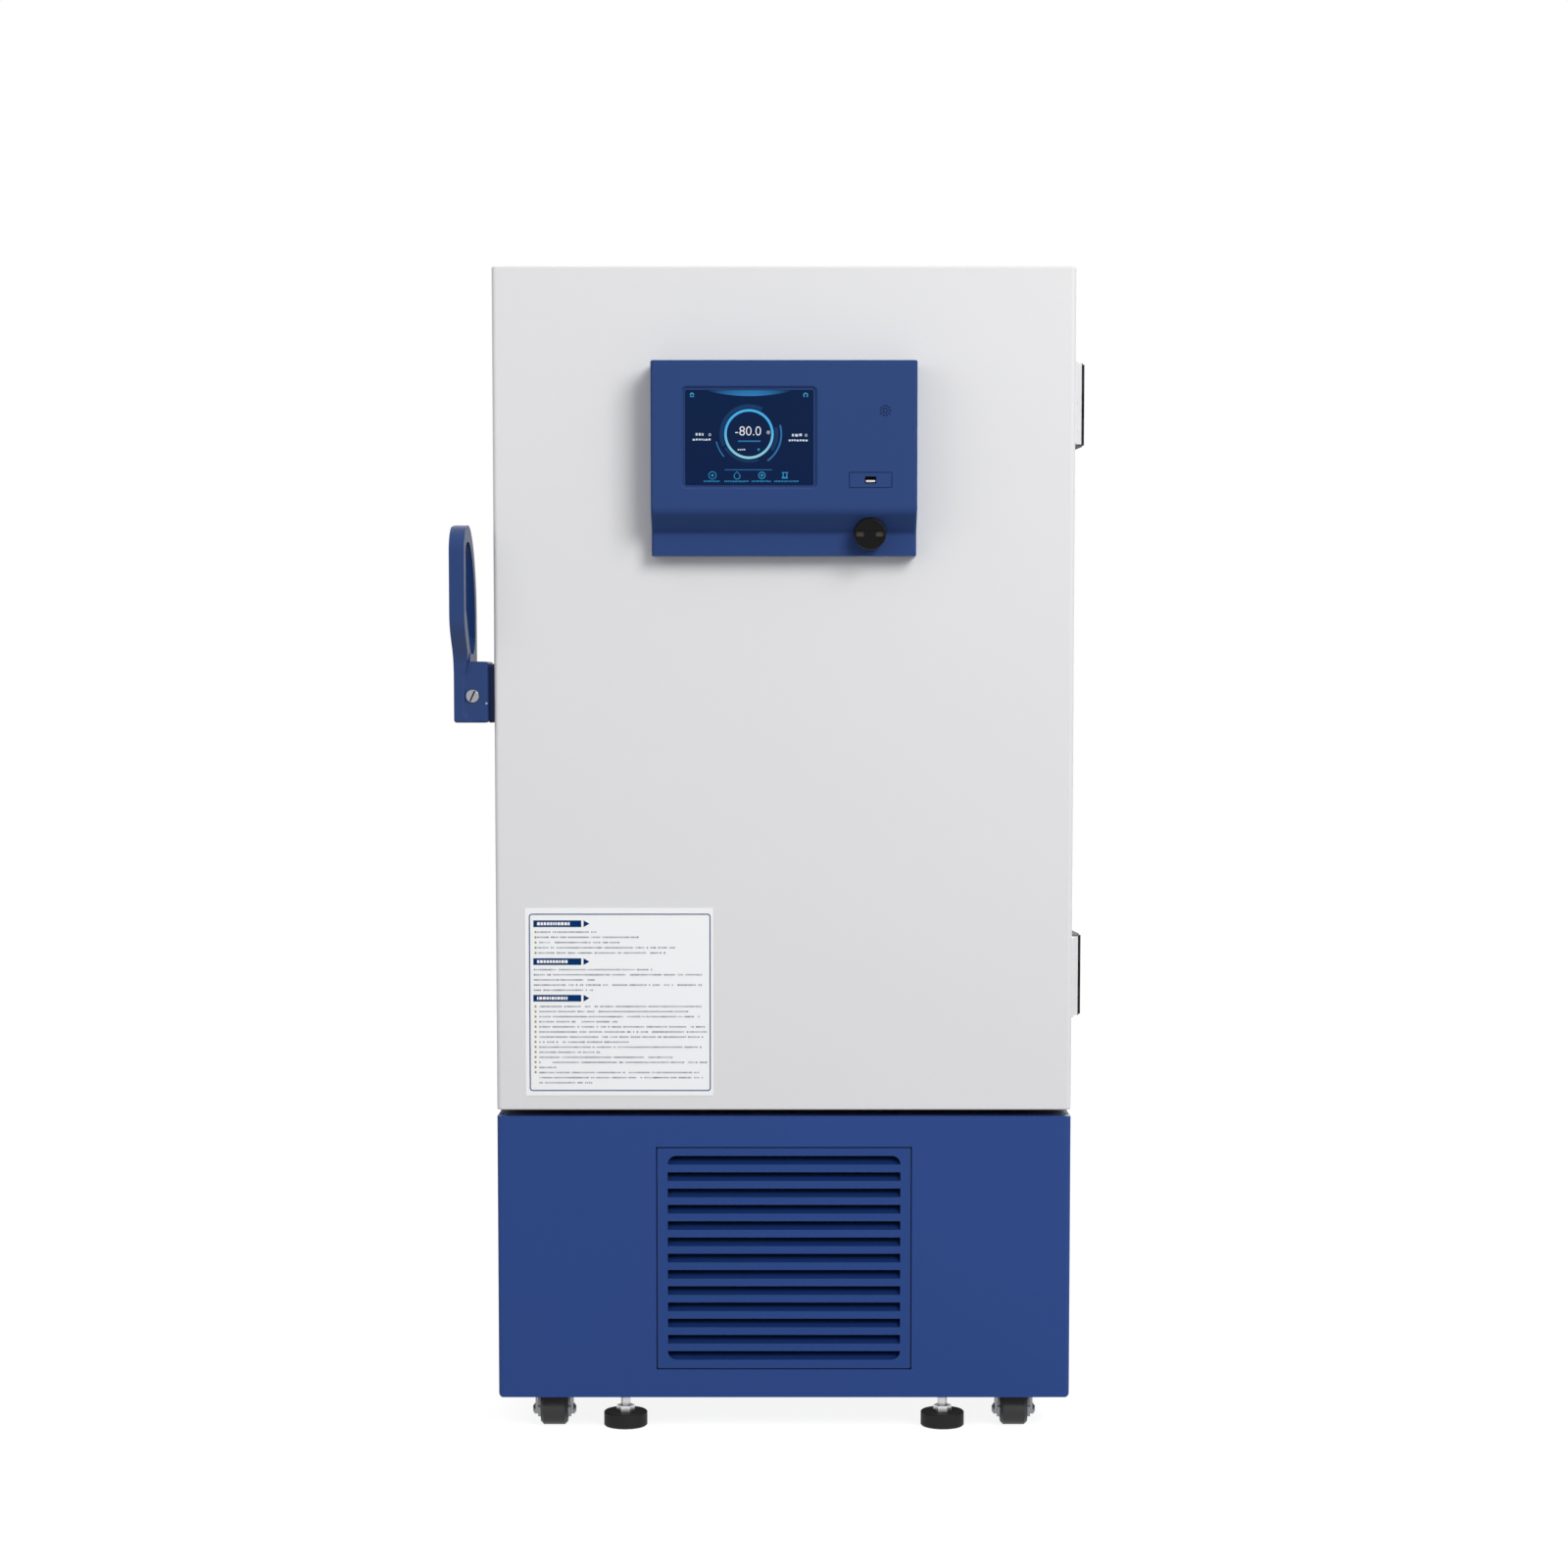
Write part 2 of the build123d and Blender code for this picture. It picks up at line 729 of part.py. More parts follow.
def grip_bow(inset, drop, low):
    """One outline of the D down to a height in front: the long crown, the round nose, the front."""
    top = grip_top - drop
    front = grip_front + inset
    nose_start = grip_top - grip_nose
    crown = EllipticalCenterArc((grip_crown_y, grip_shoulder), grip_rear - inset - grip_crown_y,
                                top - grip_shoulder, 0, arc_size=90)
    nose = EllipticalCenterArc((grip_crown_y, nose_start), grip_crown_y - front, top - nose_start,
                               90, arc_size=90)
    return [crown, nose, Line((front, nose_start), (front, low))]


def grip_side():
    """The D of the grip seen from the side: round nose, long crown, open middle."""
    start = (hub_front, hub_top - grip_overlap)
    sweep_back = Spline(start, (grip_front, grip_knee), tangents=((0, 1), (0, 1)))
    back = Polyline((grip_rear, grip_shoulder), (grip_rear, hub_top - grip_overlap), start)
    outer = make_face([sweep_back, back] + grip_bow(0, 0, grip_knee))
    knee = grip_knee + hand_knee_rise
    floor = hub_top + hand_heel
    heel = Polyline((grip_front + grip_limb, knee), (hub_front + grip_limb + hand_heel_inset, floor),
                    (grip_rear - grip_limb, floor), (grip_rear - grip_limb, grip_shoulder))
    hand = make_face([heel] + grip_bow(grip_limb, hand_drop, knee))
    return outer - fillet(hand.vertices().group_by(Axis.Y)[0], hand_corner)


def hub_hollow():
    """What is cut from the hub's face: a sunk field beside the bar, open to the right and the top."""
    fields = []
    for spread in (hub_recess, 0):
        low_x = hub_left + hub_bar - spread
        low_z = hub_bottom + hub_recess_rim - spread / 2
        field = outline((low_x, low_z), (hub_right + 1, low_z), (hub_right + 1, hub_top + 1),
                        (low_x, hub_top + 1))
        inner_low = field.vertices().group_by(Axis.Y)[0].sort_by(Axis.X)[0]
        fields.append(fillet(inner_low, hub_recess_corner))
    front = Plane.XZ.offset(-hub_front) * fields[0]
    floor = Plane.XZ.offset(-hub_front - hub_recess) * fields[1]
    return loft([front, floor])


def handle_lever():
    """The moulded lever: the D grip, its hub block, the sunk field round the lock, the pin bore."""
    grip_left = -half - handle_reach
    grip = across(grip_side(), grip_left, grip_left + grip_width + 2 * grip_rear_shift)
    plan = outline(
        (grip_left, grip_front),
        (grip_left + grip_width, grip_front),
        (grip_left + grip_width + grip_rear_shift, grip_rear),
        (grip_left + grip_rear_shift, grip_rear),
    )
    front_view = outline(
        (grip_left, grip_top),
        (grip_left, hub_top + grip_lean_rise),
        (hub_left, hub_top - grip_overlap),
        (hub_right, hub_top - grip_overlap),
        (hub_right, grip_top),
    )
    outer_top = front_view.vertices().group_by(Axis.Y)[-1].sort_by(Axis.X)[0]
    front_view = fillet(outer_top, grip_corner)
    grip_right = grip_left + grip_width + 2 * grip_rear_shift
    waist_low = hub_top - grip_overlap - 1
    waist = outline((hub_left + hub_bar, waist_low), (grip_right, waist_low), (grip_right, grip_knee))
    grip -= backwards(waist, grip_front - 1, hub_front + grip_limb)
    grip = grip & upwards(plan, hub_bottom, grip_top) & backwards(front_view, grip_front, grip_rear)
    hub = block(hub_left, hub_right, hub_front, hub_rear, hub_bottom, hub_top)
    outer_corner = hub.edges().filter_by(Axis.Z).sort_by(Axis.Y)[:2].sort_by(Axis.X)[-1]
    hub = fillet(outer_corner, hub_round)
    hub = fillet(hub.edges().group_by(Axis.Z)[-1] + hub.edges().group_by(Axis.Z)[0], 5)
    shape = grip + hub - hub_hollow()
    shape -= rod_y(hub_front - 1, hub_front + hub_recess + lock_length, lock_x, lock_z,
                   lock_radius + running_fit)
    shape -= rod_x(hub_left + 8, hub_right + 1, handle_axis_y, handle_axis_z,
                   handle_pin_radius + running_fit)
    return shape


def lock_cylinder():
    """The key cylinder, with a rounded rim and the key's slot across its face."""
    front = hub_front + hub_recess / 2
    back = hub_front + hub_recess + lock_length - seat_gap
    body = rod_y(front, back, lock_x, lock_z, lock_radius)
    body = fillet(body.edges().sort_by(Axis.Y)[0], 1)
    slot = Box(1.8 * lock_radius, hub_recess, lock_slot)
    return body - Pos(lock_x, front, lock_z) * Rot(0, lock_slot_turn, 0) * slot


def handle_bracket():
    """The plate on the door's left side, with the pin that the lever turns on."""
    face = rounded(hub_front + bracket_setback, hub_rear + bracket_tail, hub_bottom,
                   hub_top - bracket_drop, bracket_corner)
    plate = across(face, -half - bracket_thickness, -half)
    pin = rod_x(hub_left + 8 + seat_gap, -half, handle_axis_y, handle_axis_z, handle_pin_radius)
    return plate + pin


def latch_hook():
    """The hook bolted to the hub's rear face, its lip just clear over the keeper's pin."""
    pin_top = handle_axis_z
    low = pin_top + hook_clearance
    back = hub_rear
    tip = back + hook_reach
    throat_front = striker_y - striker_pin_radius - 6
    throat_back = striker_y + striker_pin_radius + 3
    side = outline(
        (back, low - 30),
        (back + 10, low - 30),
        (back + 16, low),
        (throat_front, low),
        (throat_front + 5, low + 6),
        (throat_back - 3, low + 6),
        (throat_back, low),
        (tip, low + 4),
        (tip - 4, low + hook_height - 10),
        (back + 20, low + hook_height),
        (back, low + hook_height),
    )
    x_high = hub_right - 10
    return across(side, x_high - hook_thickness, x_high)


# Inner doors


def inner_door(z_low, z_high, pin_low, pin_high):
    """A foamed inner door with a pull pocket, a gasket strip behind and a pin at each end."""
    front = inner_door_front
    back = front + inner_door_thickness
    face = rounded(-inner_door_half, inner_door_half, z_low, z_high, 3)
    panel = backwards(face, front, back)
    pull_x = -inner_door_half + 2 * inner_pull_width
    pull_z = (z_low + z_high) / 2
    pocket = Pos(pull_x, pull_z) * RectangleRounded(inner_pull_width, inner_pull_height, 10)
    panel -= backwards(pocket, front - 1, front + inner_pull_depth)
    seal_outer = rounded(-inner_door_half + 4, inner_door_half - 4, z_low + 4, z_high - 4, 3)
    seal_inner = rounded(-inner_door_half + 15, inner_door_half - 15, z_low + 15, z_high - 15, 3)
    seal = backwards(seal_outer - seal_inner, back - 1, liner_front - seat_gap)
    pins = rod_z(pin_low, pin_high, inner_axis_x, inner_axis_y, inner_door_pin_radius)
    return panel + seal + pins


def inner_door_lower():
    """The lower inner door."""
    top = middle_z - inner_door_middle_gap / 2
    return inner_door(recess_floor + inner_door_side_gap, top, recess_floor - breaker_sheet + seat_gap,
                      middle_z - seat_gap / 2)


def inner_door_upper():
    """The upper inner door."""
    bottom = middle_z + inner_door_middle_gap / 2
    return inner_door(bottom, recess_ceiling - inner_door_side_gap, middle_z + seat_gap / 2,
                      recess_ceiling + breaker_sheet - seat_gap)


# Base


def base_front_panel():
    """The folded front of the base, with a collar round the grille's opening."""
    outer = block(-half, half, 0, base_return, base_bottom, base_top)
    outer = fillet(outer.edges().filter_by(Axis.Z).sort_by(Axis.Y)[:2], base_corner)
    front_view = rounded(-half, half, base_bottom, base_top + 2 * base_corner, base_corner)
    outer = outer & backwards(front_view, 0, base_return)
    hollow = block(-half + base_sheet, half - base_sheet, base_sheet, base_return + 1,
                   base_bottom - 1, base_top - base_sheet)
    corner = base_corner - base_sheet
    hollow = fillet(hollow.edges().filter_by(Axis.Z).sort_by(Axis.Y)[:2], corner)
    panel = outer - hollow
    lip = block(-half + base_corner, half - base_corner, base_return - 1, deck_lip,
                base_top - base_sheet, base_top)
    reach = grille_width / 2 + grille_gap
    low = grille_bottom - grille_gap
    high = grille_top + grille_gap
    collar = block(-reach - base_sheet, reach + base_sheet, 0, collar_depth, low - base_sheet,
                   high + base_sheet)
    panel = panel + lip + collar
    panel -= block(-reach, reach, -1, collar_depth + 1, low, high)
    return panel - rod_x(-reach - 2 * base_sheet, reach + 2 * base_sheet, grille_axis_y + base_sheet,
                         grille_axis_z, grille_pin_radius + running_fit)


def base_side_panel_right():
    """A folded side of the base: a channel whose flanges carry the deck."""
    front = base_return + seat_gap
    back = cabinet_back - base_sheet - seat_gap
    flange = deck_lip
    plan = outline(
        (half, front),
        (half, back),
        (half - flange, back),
        (half - flange, back - base_sheet),
        (half - base_sheet, back - base_sheet),
        (half - base_sheet, front + base_sheet),
        (half - flange, front + base_sheet),
        (half - flange, front),
    )
    top = base_top - deck_thickness - seat_gap
    skirt = upwards(plan, pan_top + seat_gap, top)
    lower = block(half - base_sheet, half, front, back, base_bottom, pan_top + 1)
    return skirt + lower


def base_deck():
    """The plate that the cabinet stands on."""
    inset = seat_gap
    return block(-half + inset, half - inset, deck_lip + seat_gap, cabinet_back - base_sheet - inset,
                 base_top - deck_thickness, base_top - seat_gap / 3)


def chassis_pan():
    """The floor of the machine compartment, with pads for the casters and bosses for the feet."""
    reach = half - base_sheet - seat_gap
    back = cabinet_back - base_sheet - seat_gap
    pan = block(-reach, reach, base_sheet + seat_gap, back, pan_bottom, pan_top)
    pan = fillet(pan.edges().filter_by(Axis.Z).sort_by(Axis.Y)[:2], base_corner)
    for x, y, facing in caster_places():
        pan += block(x - 45, x + 45, y - 38, y + 38, pan_bottom - caster_pad, pan_bottom)
        pan += rod_z(fork_crown_bottom + fork_crown_plate, pan_bottom, x, y, kingpin_radius)
    for x in (-foot_x, foot_x):
        pan += rod_z(pan_bottom, pan_top + 14, x, foot_setback, 2 * foot_stem_radius)
        pan -= rod_z(pan_bottom - 1, foot_stem_top + 1, x, foot_setback, foot_stem_radius + running_fit)
    return pan


def base_rear_grille():
    """The rear sheet of the base, with rows of vent slots and the hole for the cord gland."""
    sheet_back = block(-half, half, cabinet_back - base_sheet, cabinet_back, base_bottom,
                       base_top - seat_gap)
    rows, columns = 6, 4
    for row in range(rows):
        for column in range(columns):
            x = -half * 0.6 + column * half * 0.4
            z = base_bottom + 110 + row * 36
            slot = Pos(x, z) * SlotOverall(140, 12)
            sheet_back -= backwards(slot, cabinet_back - 2 * base_sheet, cabinet_back + 1)
    return sheet_back - rod_y(cabinet_back - 10, cabinet_back + 1, half * 0.72, base_top - 90,
                              gland_radius + running_fit)


def front_grille():
    """The louvred grille: one moulding, its slots open between blades that slope back and up."""
    reach = grille_width / 2
    face = rounded(-reach, reach, grille_bottom, grille_top, 3)
    plate = backwards(face, 0, grille_plate)
    slots = []
    blades = []
    for count in range(slot_count):
        low = grille_bottom + first_slot_bottom + count * slot_pitch
        high = low + slot_height
        slot = outline((-slot_width / 2, low), (slot_width / 2, low), (slot_width / 2, high),
                       (-slot_width / 2, high))
        if count in (0, slot_count - 1):
            ends = slot.vertices().sort_by(Axis.Y)
            ends = ends[:2] if count == 0 else ends[-2:]
            slot = fillet(ends, slot_corner)
        slots.append(backwards(slot, -1, grille_plate + 1))
        blade = outline(
            (grille_plate - 1, low - blade_thickness),
            (grille_plate, low - blade_thickness),
            (grille_plate + blade_depth, low + blade_rise - blade_thickness),
            (grille_plate + blade_depth, low + blade_rise),
            (grille_plate - 1, low - 0.4),
        )
        blades.append(across(blade, -slot_width / 2 - 2, slot_width / 2 + 2))
    shape = plate - slots + blades
    ribs = [block(x - 1, x + 1, grille_plate - 1, grille_plate + blade_depth, grille_bottom + 12,
                  grille_top - 12) for x in (-slot_width / 2 - 3, slot_width / 2 + 3)]
    pin_reach = reach + grille_gap + base_sheet
    pins = [rod_x(*sorted((side * (reach - 4), side * pin_reach)), grille_axis_y + base_sheet,
                  grille_axis_z, grille_pin_radius) for side in (-1, 1)]
    return shape + ribs + pins


def air_filter():
    """The washable filter behind the grille: a frame round a pleated pad."""
    reach = grille_width / 2 + filter_margin
    low = grille_bottom - filter_margin
    high = grille_top + filter_margin
    front = collar_depth + seat_gap
    frame = block(-reach, reach, front, front + filter_depth, low, high)
    rim = 14
    pad = block(-reach + rim, reach - rim, front - 1, front + 4, low + rim, high - rim)
    frame = frame - pad
    step = (2 * reach - 2 * rim) / 28
    valley = front + 4
    points = [(-reach + rim, valley + 1)]
    for count in range(28):
        x = -reach + rim + count * step
        points += [(x, valley), (x + step / 2, valley - 3)]
    points += [(reach - rim, valley), (reach - rim, valley + 1)]
    return frame + upwards(outline(*points), low + rim, high - rim)


def condenser():
    """The finned condenser: a comb of upright fins between two end plates that stand on the pan."""
    width = condenser_width
    low = pan_top + condenser_foot
    high = low + condenser_height
    front = condenser_front
    back = front + condenser_depth
    fins = int((width - 20) / condenser_fin_pitch)
    points = []
    for count in range(fins):
        x = -width / 2 + 10 + count * condenser_fin_pitch
        points += [(x, front + condenser_fin_depth), (x, front), (x + 2, front),
                   (x + 2, front + condenser_fin_depth)]
    points += [(width / 2, front + condenser_fin_depth), (width / 2, back), (-width / 2, back),
               (-width / 2, front + condenser_fin_depth)]
    core = upwards(outline(*points), low, high)
    ends = [block(x - 1.5, x + 1.5, front, back, pan_top + seat_gap, high + 10)
            for x in (-width / 2, width / 2)]
    return core + ends


def fan_place():
    """The middle of the fan: its front, its height."""
    centre_z = pan_top + condenser_foot + condenser_height / 2
    return condenser_front + condenser_depth + seat_gap + 12, centre_z


def fan_shroud():
    """The drawn plate and duct ring round the fan, close behind the condenser."""
    front = condenser_front + condenser_depth + seat_gap
    low = pan_top + condenser_foot
    hole = fan_radius + fan_tip_gap
    height = fan_place()[1]
    plate = block(-condenser_width / 2 + 2, condenser_width / 2 - 2, front, front + 3, low,
                  low + condenser_height)
    duct = rod_y(front, front + shroud_depth, 0, height, hole + 3)
    return plate + duct - rod_y(front - 1, front + shroud_depth + 1, 0, height, hole)


def fan_motor():
    """The fan's motor on a bracket of three arms that reach the duct ring."""
    front, height = fan_place()
    face = front + fan_depth + 6
    can = rod_y(face, face + motor_length, 0, height, motor_radius)
    can = fillet(can.edges().sort_by(Axis.Y)[-1], 8)
    shaft = rod_y(front + 4, face + 1, 0, height, motor_shaft_radius)
    duct_back = condenser_front + condenser_depth + seat_gap + shroud_depth
    reach = fan_radius + fan_tip_gap + 3
    arms = []
    for count in range(3):
        angle = 90 + 120 * count
        arm = Pos(reach / 2, 0, 0) * Box(reach, 3, 14)
        arms.append(Pos(0, duct_back + seat_gap + 1.5, height) * Rot(0, -angle, 0) * arm)
    return can + shaft + arms


def condenser_fan():
    """The fan: a hub and pitched blades, each blade the same twisted sheet."""
    front, height = fan_place()
    hub = rod_y(front, front + fan_depth, 0, height, fan_hub_radius)
    hub = fillet(hub.edges().sort_by(Axis.Y)[0], 4)
    inner = Plane.YZ.offset(fan_hub_radius - 6) * Rot(0, 0, 50) * Rectangle(30, 2.5)
    outer = Plane.YZ.offset(fan_radius) * Rot(0, 0, 66) * Rectangle(50, 2.5)
    blade = loft([inner.face(), outer.face()])
    centre = Pos(0, front + fan_depth / 2, height)
    trim = rod_y(front, front + fan_depth, 0, height, fan_radius)
    shape = hub
    for count in range(fan_blades):
        shape += (centre * Rot(0, 360 / fan_blades * count, 0) * blade) & trim
    return shape - rod_y(front + 3, front + fan_depth + 1, 0, height, motor_shaft_radius + running_fit)


def compressor(x):
    """A hermetic compressor: a domed steel shell on a foot plate with rubber mounts."""
    base = pan_top + 22
    radius = compressor_radius
    height = compressor_height
    shell = rod_z(base + 4, base + height, x, compressor_y, radius)
    rims = shell.edges().filter_by(GeomType.CIRCLE).sort_by(Axis.Z)
    shell = fillet(rims[-1], radius * 0.62)
    shell = fillet(shell.edges().filter_by(GeomType.CIRCLE).sort_by(Axis.Z)[0], radius * 0.2)
    plate_face = Pos(x, compressor_y) * RectangleRounded(2.3 * radius, 1.7 * radius, 14)
    plate = upwards(plate_face, base, base + 5)
    mounts = []
    for dx in (-radius, radius):
        for dy in (-0.68 * radius, 0.68 * radius):
            mounts.append(rod_z(pan_top + seat_gap, base + 1, x + dx, compressor_y + dy, 12))
    return shell + plate + mounts


def refrigerant_pipes():
    """Copper lines: from each compressor to the condenser's end plate."""
    shape = []
    reach = condenser_width / 2 + 1.5 + pipe_radius + 1
    for side, height in ((-1, pan_top + 120), (1, pan_top + 170)):
        start = (side * compressor_x, compressor_y - compressor_radius - seat_gap, height)
        route = [start, (side * compressor_x, compressor_y - pipe_run, height),
                 (side * reach, compressor_y - pipe_run, height),
                 (side * reach, condenser_front + 20, height)]
        path = FilletPolyline(*route, radius=3 * pipe_radius)
        profile = Plane(start, z_dir=(0, -1, 0)) * Circle(pipe_radius)
        shape.append(sweep(profile, path))
    return Compound(shape)


def electrical_box():
    """The control box, hung from the deck behind the right side."""
    top = base_top - deck_thickness - seat_gap
    back = cabinet_back - box_setback
    side = half - box_side_gap
    box = block(side - box_width, side, back - box_depth, back, top - box_height, top)
    box = fillet(box.edges().filter_by(Axis.Z), 6)
    return box


def cord_gland():
    """The gland in the rear sheet where the supply cord would leave."""
    x, z = half * 0.72, base_top - 90
    body = rod_y(cabinet_back - 12, cabinet_back + bumper_reach * 0.8, x, z, gland_radius)
    collar = rod_y(cabinet_back + seat_gap, cabinet_back + 6, x, z, gland_radius + 5)
    collar = collar & (Pos(x, cabinet_back, z) * Rot(90, 0, 0) * extrude(
        RegularPolygon(gland_radius + 4.5, 6), amount=40, both=True))
    bore = rod_y(cabinet_back - 13, cabinet_back + bumper_reach, x, z, gland_radius / 2)
    return body + collar - bore


# Casters and feet


def caster_places():
    """Each caster's swivel axis, and which way it trails: the wheel is in front or behind."""
    rear = cabinet_back - caster_setback
    return [
        (-caster_x, caster_setback, -1),
        (caster_x, caster_setback, -1),
        (-caster_x, rear, -1),
        (caster_x, rear, -1),
    ]


def caster_fork(x, y, facing):
    """The swivel fork: a crown under the pad, two legs down to the axle, and the axle's nuts."""
    axle_y = y + facing * caster_trail
    inner = wheel_width / 2 + seat_gap
    crown = rod_z(fork_crown_bottom, pan_bottom - caster_pad - seat_gap, x, y, fork_crown_radius)
    side = outline(
        (axle_y - fork_leg_radius, wheel_z),
        (axle_y + fork_leg_radius, wheel_z),
        (y + fork_crown_radius - 6, fork_crown_bottom + fork_crown_plate),
        (y - fork_crown_radius + 2, fork_crown_bottom + fork_crown_plate),
    )
    side += Pos(axle_y, wheel_z) * Circle(fork_leg_radius)
    legs = [across(side, x + inner, x + inner + fork_leg),
            across(side, x - inner - fork_leg, x - inner)]
    for facing_out in (-1, 1):
        outer = x + facing_out * (inner + fork_leg)
        ends = sorted((outer - facing_out, outer + facing_out * fork_shoulder))
        legs.append(block(*ends, axle_y - fork_leg_radius + fork_shoulder,
                          axle_y + fork_leg_radius - fork_shoulder,
                          wheel_z - fork_shoulder_drop, fork_crown_bottom + fork_crown_plate))
    top = block(x - inner - fork_leg, x + inner + fork_leg, y - fork_crown_radius + 8,
                y + fork_crown_radius - 12, fork_crown_bottom, fork_crown_bottom + fork_crown_plate)
    reach = inner + fork_leg + axle_nut
    axle = rod_x(x - reach, x + reach, axle_y, wheel_z, wheel_bore - running_fit)
    nuts = []
    for low, high in ((x - reach + 2, x - inner - fork_leg), (x + inner + fork_leg, x + reach - 2)):
        nut = Plane.YZ.offset(low) * Pos(axle_y, wheel_z) * RegularPolygon(9.5, 6)
        nuts.append(extrude(nut, amount=high - low))
    shape = crown + top + legs + axle + nuts
    return shape - rod_z(fork_crown_bottom - 1, pan_bottom, x, y, kingpin_radius + running_fit)


def caster_wheel(x, y, facing):
    """A broad nylon wheel with bevelled tread edges, dished sides and a bore."""
    axle_y = y + facing * caster_trail
    half_width = wheel_width / 2
    dish = 3
    rim = wheel_radius - wheel_chamfer - 5
    hub = wheel_bore + 6
    side = outline(
        (wheel_bore, -half_width), (hub, -half_width), (hub + 1, -half_width + dish),
        (rim - 1, -half_width + dish), (rim, -half_width), (wheel_radius - wheel_chamfer, -half_width),
        (wheel_radius, -half_width + wheel_chamfer), (wheel_radius, half_width - wheel_chamfer),
        (wheel_radius - wheel_chamfer, half_width), (rim, half_width), (rim - 1, half_width - dish),
        (hub + 1, half_width - dish), (hub, half_width), (wheel_bore, half_width),
    )
    turned = revolve(Plane.XZ * side, Axis.Z)
    return Pos(x, axle_y, wheel_z) * Rot(0, 90, 0) * turned


def levelling_foot(x):
    """A broad pad on a threaded stem, with its lock nut."""
    side = outline(
        (0, 0), (foot_radius - 2, 0), (foot_radius, 2), (foot_radius, foot_height - 1.5),
        (foot_radius - 1.5, foot_height), (0, foot_height),
    )
    pad = Pos(x, foot_setback, 0) * revolve(Plane.XZ * side, Axis.Z)
    stem = rod_z(foot_height - 1, foot_stem_top, x, foot_setback, foot_stem_radius)
    nut = Pos(x, foot_setback) * RegularPolygon(foot_nut_radius, 6)
    return pad + stem + upwards(nut, foot_height - 0.5, foot_height + foot_nut_height)


def pieces():
    """Every sub-part by its name."""
    right_side = side_panel_right()
    base_right = base_side_panel_right()
    middle = (upper_hinge_bottom + lower_hinge_bottom + hinge_leaf_height) / 2
    door_leaf = hinge_door_leaf(upper_hinge_bottom)
    cabinet_leaf = hinge_cabinet_leaf(upper_hinge_bottom)
    named = {
        "side_panel_left": mirrored_x(right_side),
        "side_panel_right": right_side,
        "top_panel": top_panel(),
        "back_panel": back_panel(),
        "cabinet_insulation": cabinet_insulation(),
        "inner_liner": inner_liner(),
        "evaporator_coil": evaporator_coil(),
        "breaker_frame": breaker_frame(),
        "shelf_rails": shelf_rails(),
        "latch_striker": latch_striker(),
        "rear_bumpers": rear_bumpers(),
        "hinge_door_leaf_upper": door_leaf,
        "hinge_door_leaf_lower": mirrored_z(door_leaf, middle),
        "hinge_cabinet_leaf_upper": cabinet_leaf,
        "hinge_cabinet_leaf_lower": mirrored_z(cabinet_leaf, middle),
        "door_outer_skin": door_outer_skin(),
        "door_insulation": door_insulation(),
        "door_inner_panel": door_inner_panel(),
        "door_gasket": door_gasket(),
        "control_housing": control_housing(),
        "screen_bezel": screen_bezel(),
        "touch_screen": touch_screen(),
        "usb_port": usb_port(),
        "control_knob": control_knob(),
        "handle_bracket": handle_bracket(),
        "handle_lever": handle_lever(),
        "latch_hook": latch_hook(),
        "lock_cylinder": lock_cylinder(),
        "inner_door_upper": inner_door_upper(),
        "inner_door_lower": inner_door_lower(),
        "base_front_panel": base_front_panel(),
        "base_side_panel_left": mirrored_x(base_right),
        "base_side_panel_right": base_right,
        "base_rear_grille": base_rear_grille(),
        "base_deck": base_deck(),
        "chassis_pan": chassis_pan(),
        "front_grille": front_grille(),
        "air_filter": air_filter(),
        "condenser": condenser(),
        "fan_shroud": fan_shroud(),
        "fan_motor": fan_motor(),
        "condenser_fan": condenser_fan(),
        "compressor_high_stage": compressor(-compressor_x),
        "compressor_low_stage": compressor(compressor_x),
        "refrigerant_pipes": refrigerant_pipes(),
        "electrical_box": electrical_box(),
        "cord_gland": cord_gland(),
        "foot_left": levelling_foot(-foot_x),
        "foot_right": levelling_foot(foot_x),
    }
    for name, height in zip(("shelf_lower", "shelf_middle", "shelf_upper"), shelf_heights()):
        named[name] = shelf(height)
    corners = ("front_left", "front_right", "rear_left", "rear_right")
    for corner, place in zip(corners, caster_places()):
        named["caster_fork_" + corner] = caster_fork(*place)
        named["caster_wheel_" + corner] = caster_wheel(*place)
    return named


os.makedirs("parts", exist_ok=True)
for name, shape in pieces().items():
    export_step(to_middle * shape, f"parts/{name}.step")
print("moved by", middle_x, front_y)
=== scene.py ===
# %% [markdown]
# # Dressing a laboratory freezer
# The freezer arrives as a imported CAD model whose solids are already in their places. This lesson
# gives them their finishes and adds what is too fine for CAD: the lit display, the printed card,
# screws, threads and dark seams. Loading the model first fixes the frame that all the rest uses.

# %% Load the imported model
import math
import random

import bmesh
import bpy
from mathutils import Matrix, Vector


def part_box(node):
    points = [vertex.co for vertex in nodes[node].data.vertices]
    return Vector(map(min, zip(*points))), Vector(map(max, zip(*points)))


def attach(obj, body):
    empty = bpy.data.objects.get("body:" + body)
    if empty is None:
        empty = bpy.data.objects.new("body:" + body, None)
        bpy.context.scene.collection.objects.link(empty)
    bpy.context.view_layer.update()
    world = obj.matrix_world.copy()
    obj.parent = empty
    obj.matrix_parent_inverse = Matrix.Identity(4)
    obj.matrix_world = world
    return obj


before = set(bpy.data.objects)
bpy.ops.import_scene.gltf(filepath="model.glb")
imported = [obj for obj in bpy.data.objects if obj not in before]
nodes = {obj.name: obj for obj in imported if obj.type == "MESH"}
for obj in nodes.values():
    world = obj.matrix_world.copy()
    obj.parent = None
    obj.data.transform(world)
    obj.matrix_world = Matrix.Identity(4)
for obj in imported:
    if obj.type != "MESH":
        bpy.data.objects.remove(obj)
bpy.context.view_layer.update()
CORNERS = ("front_left", "front_right", "rear_left", "rear_right")

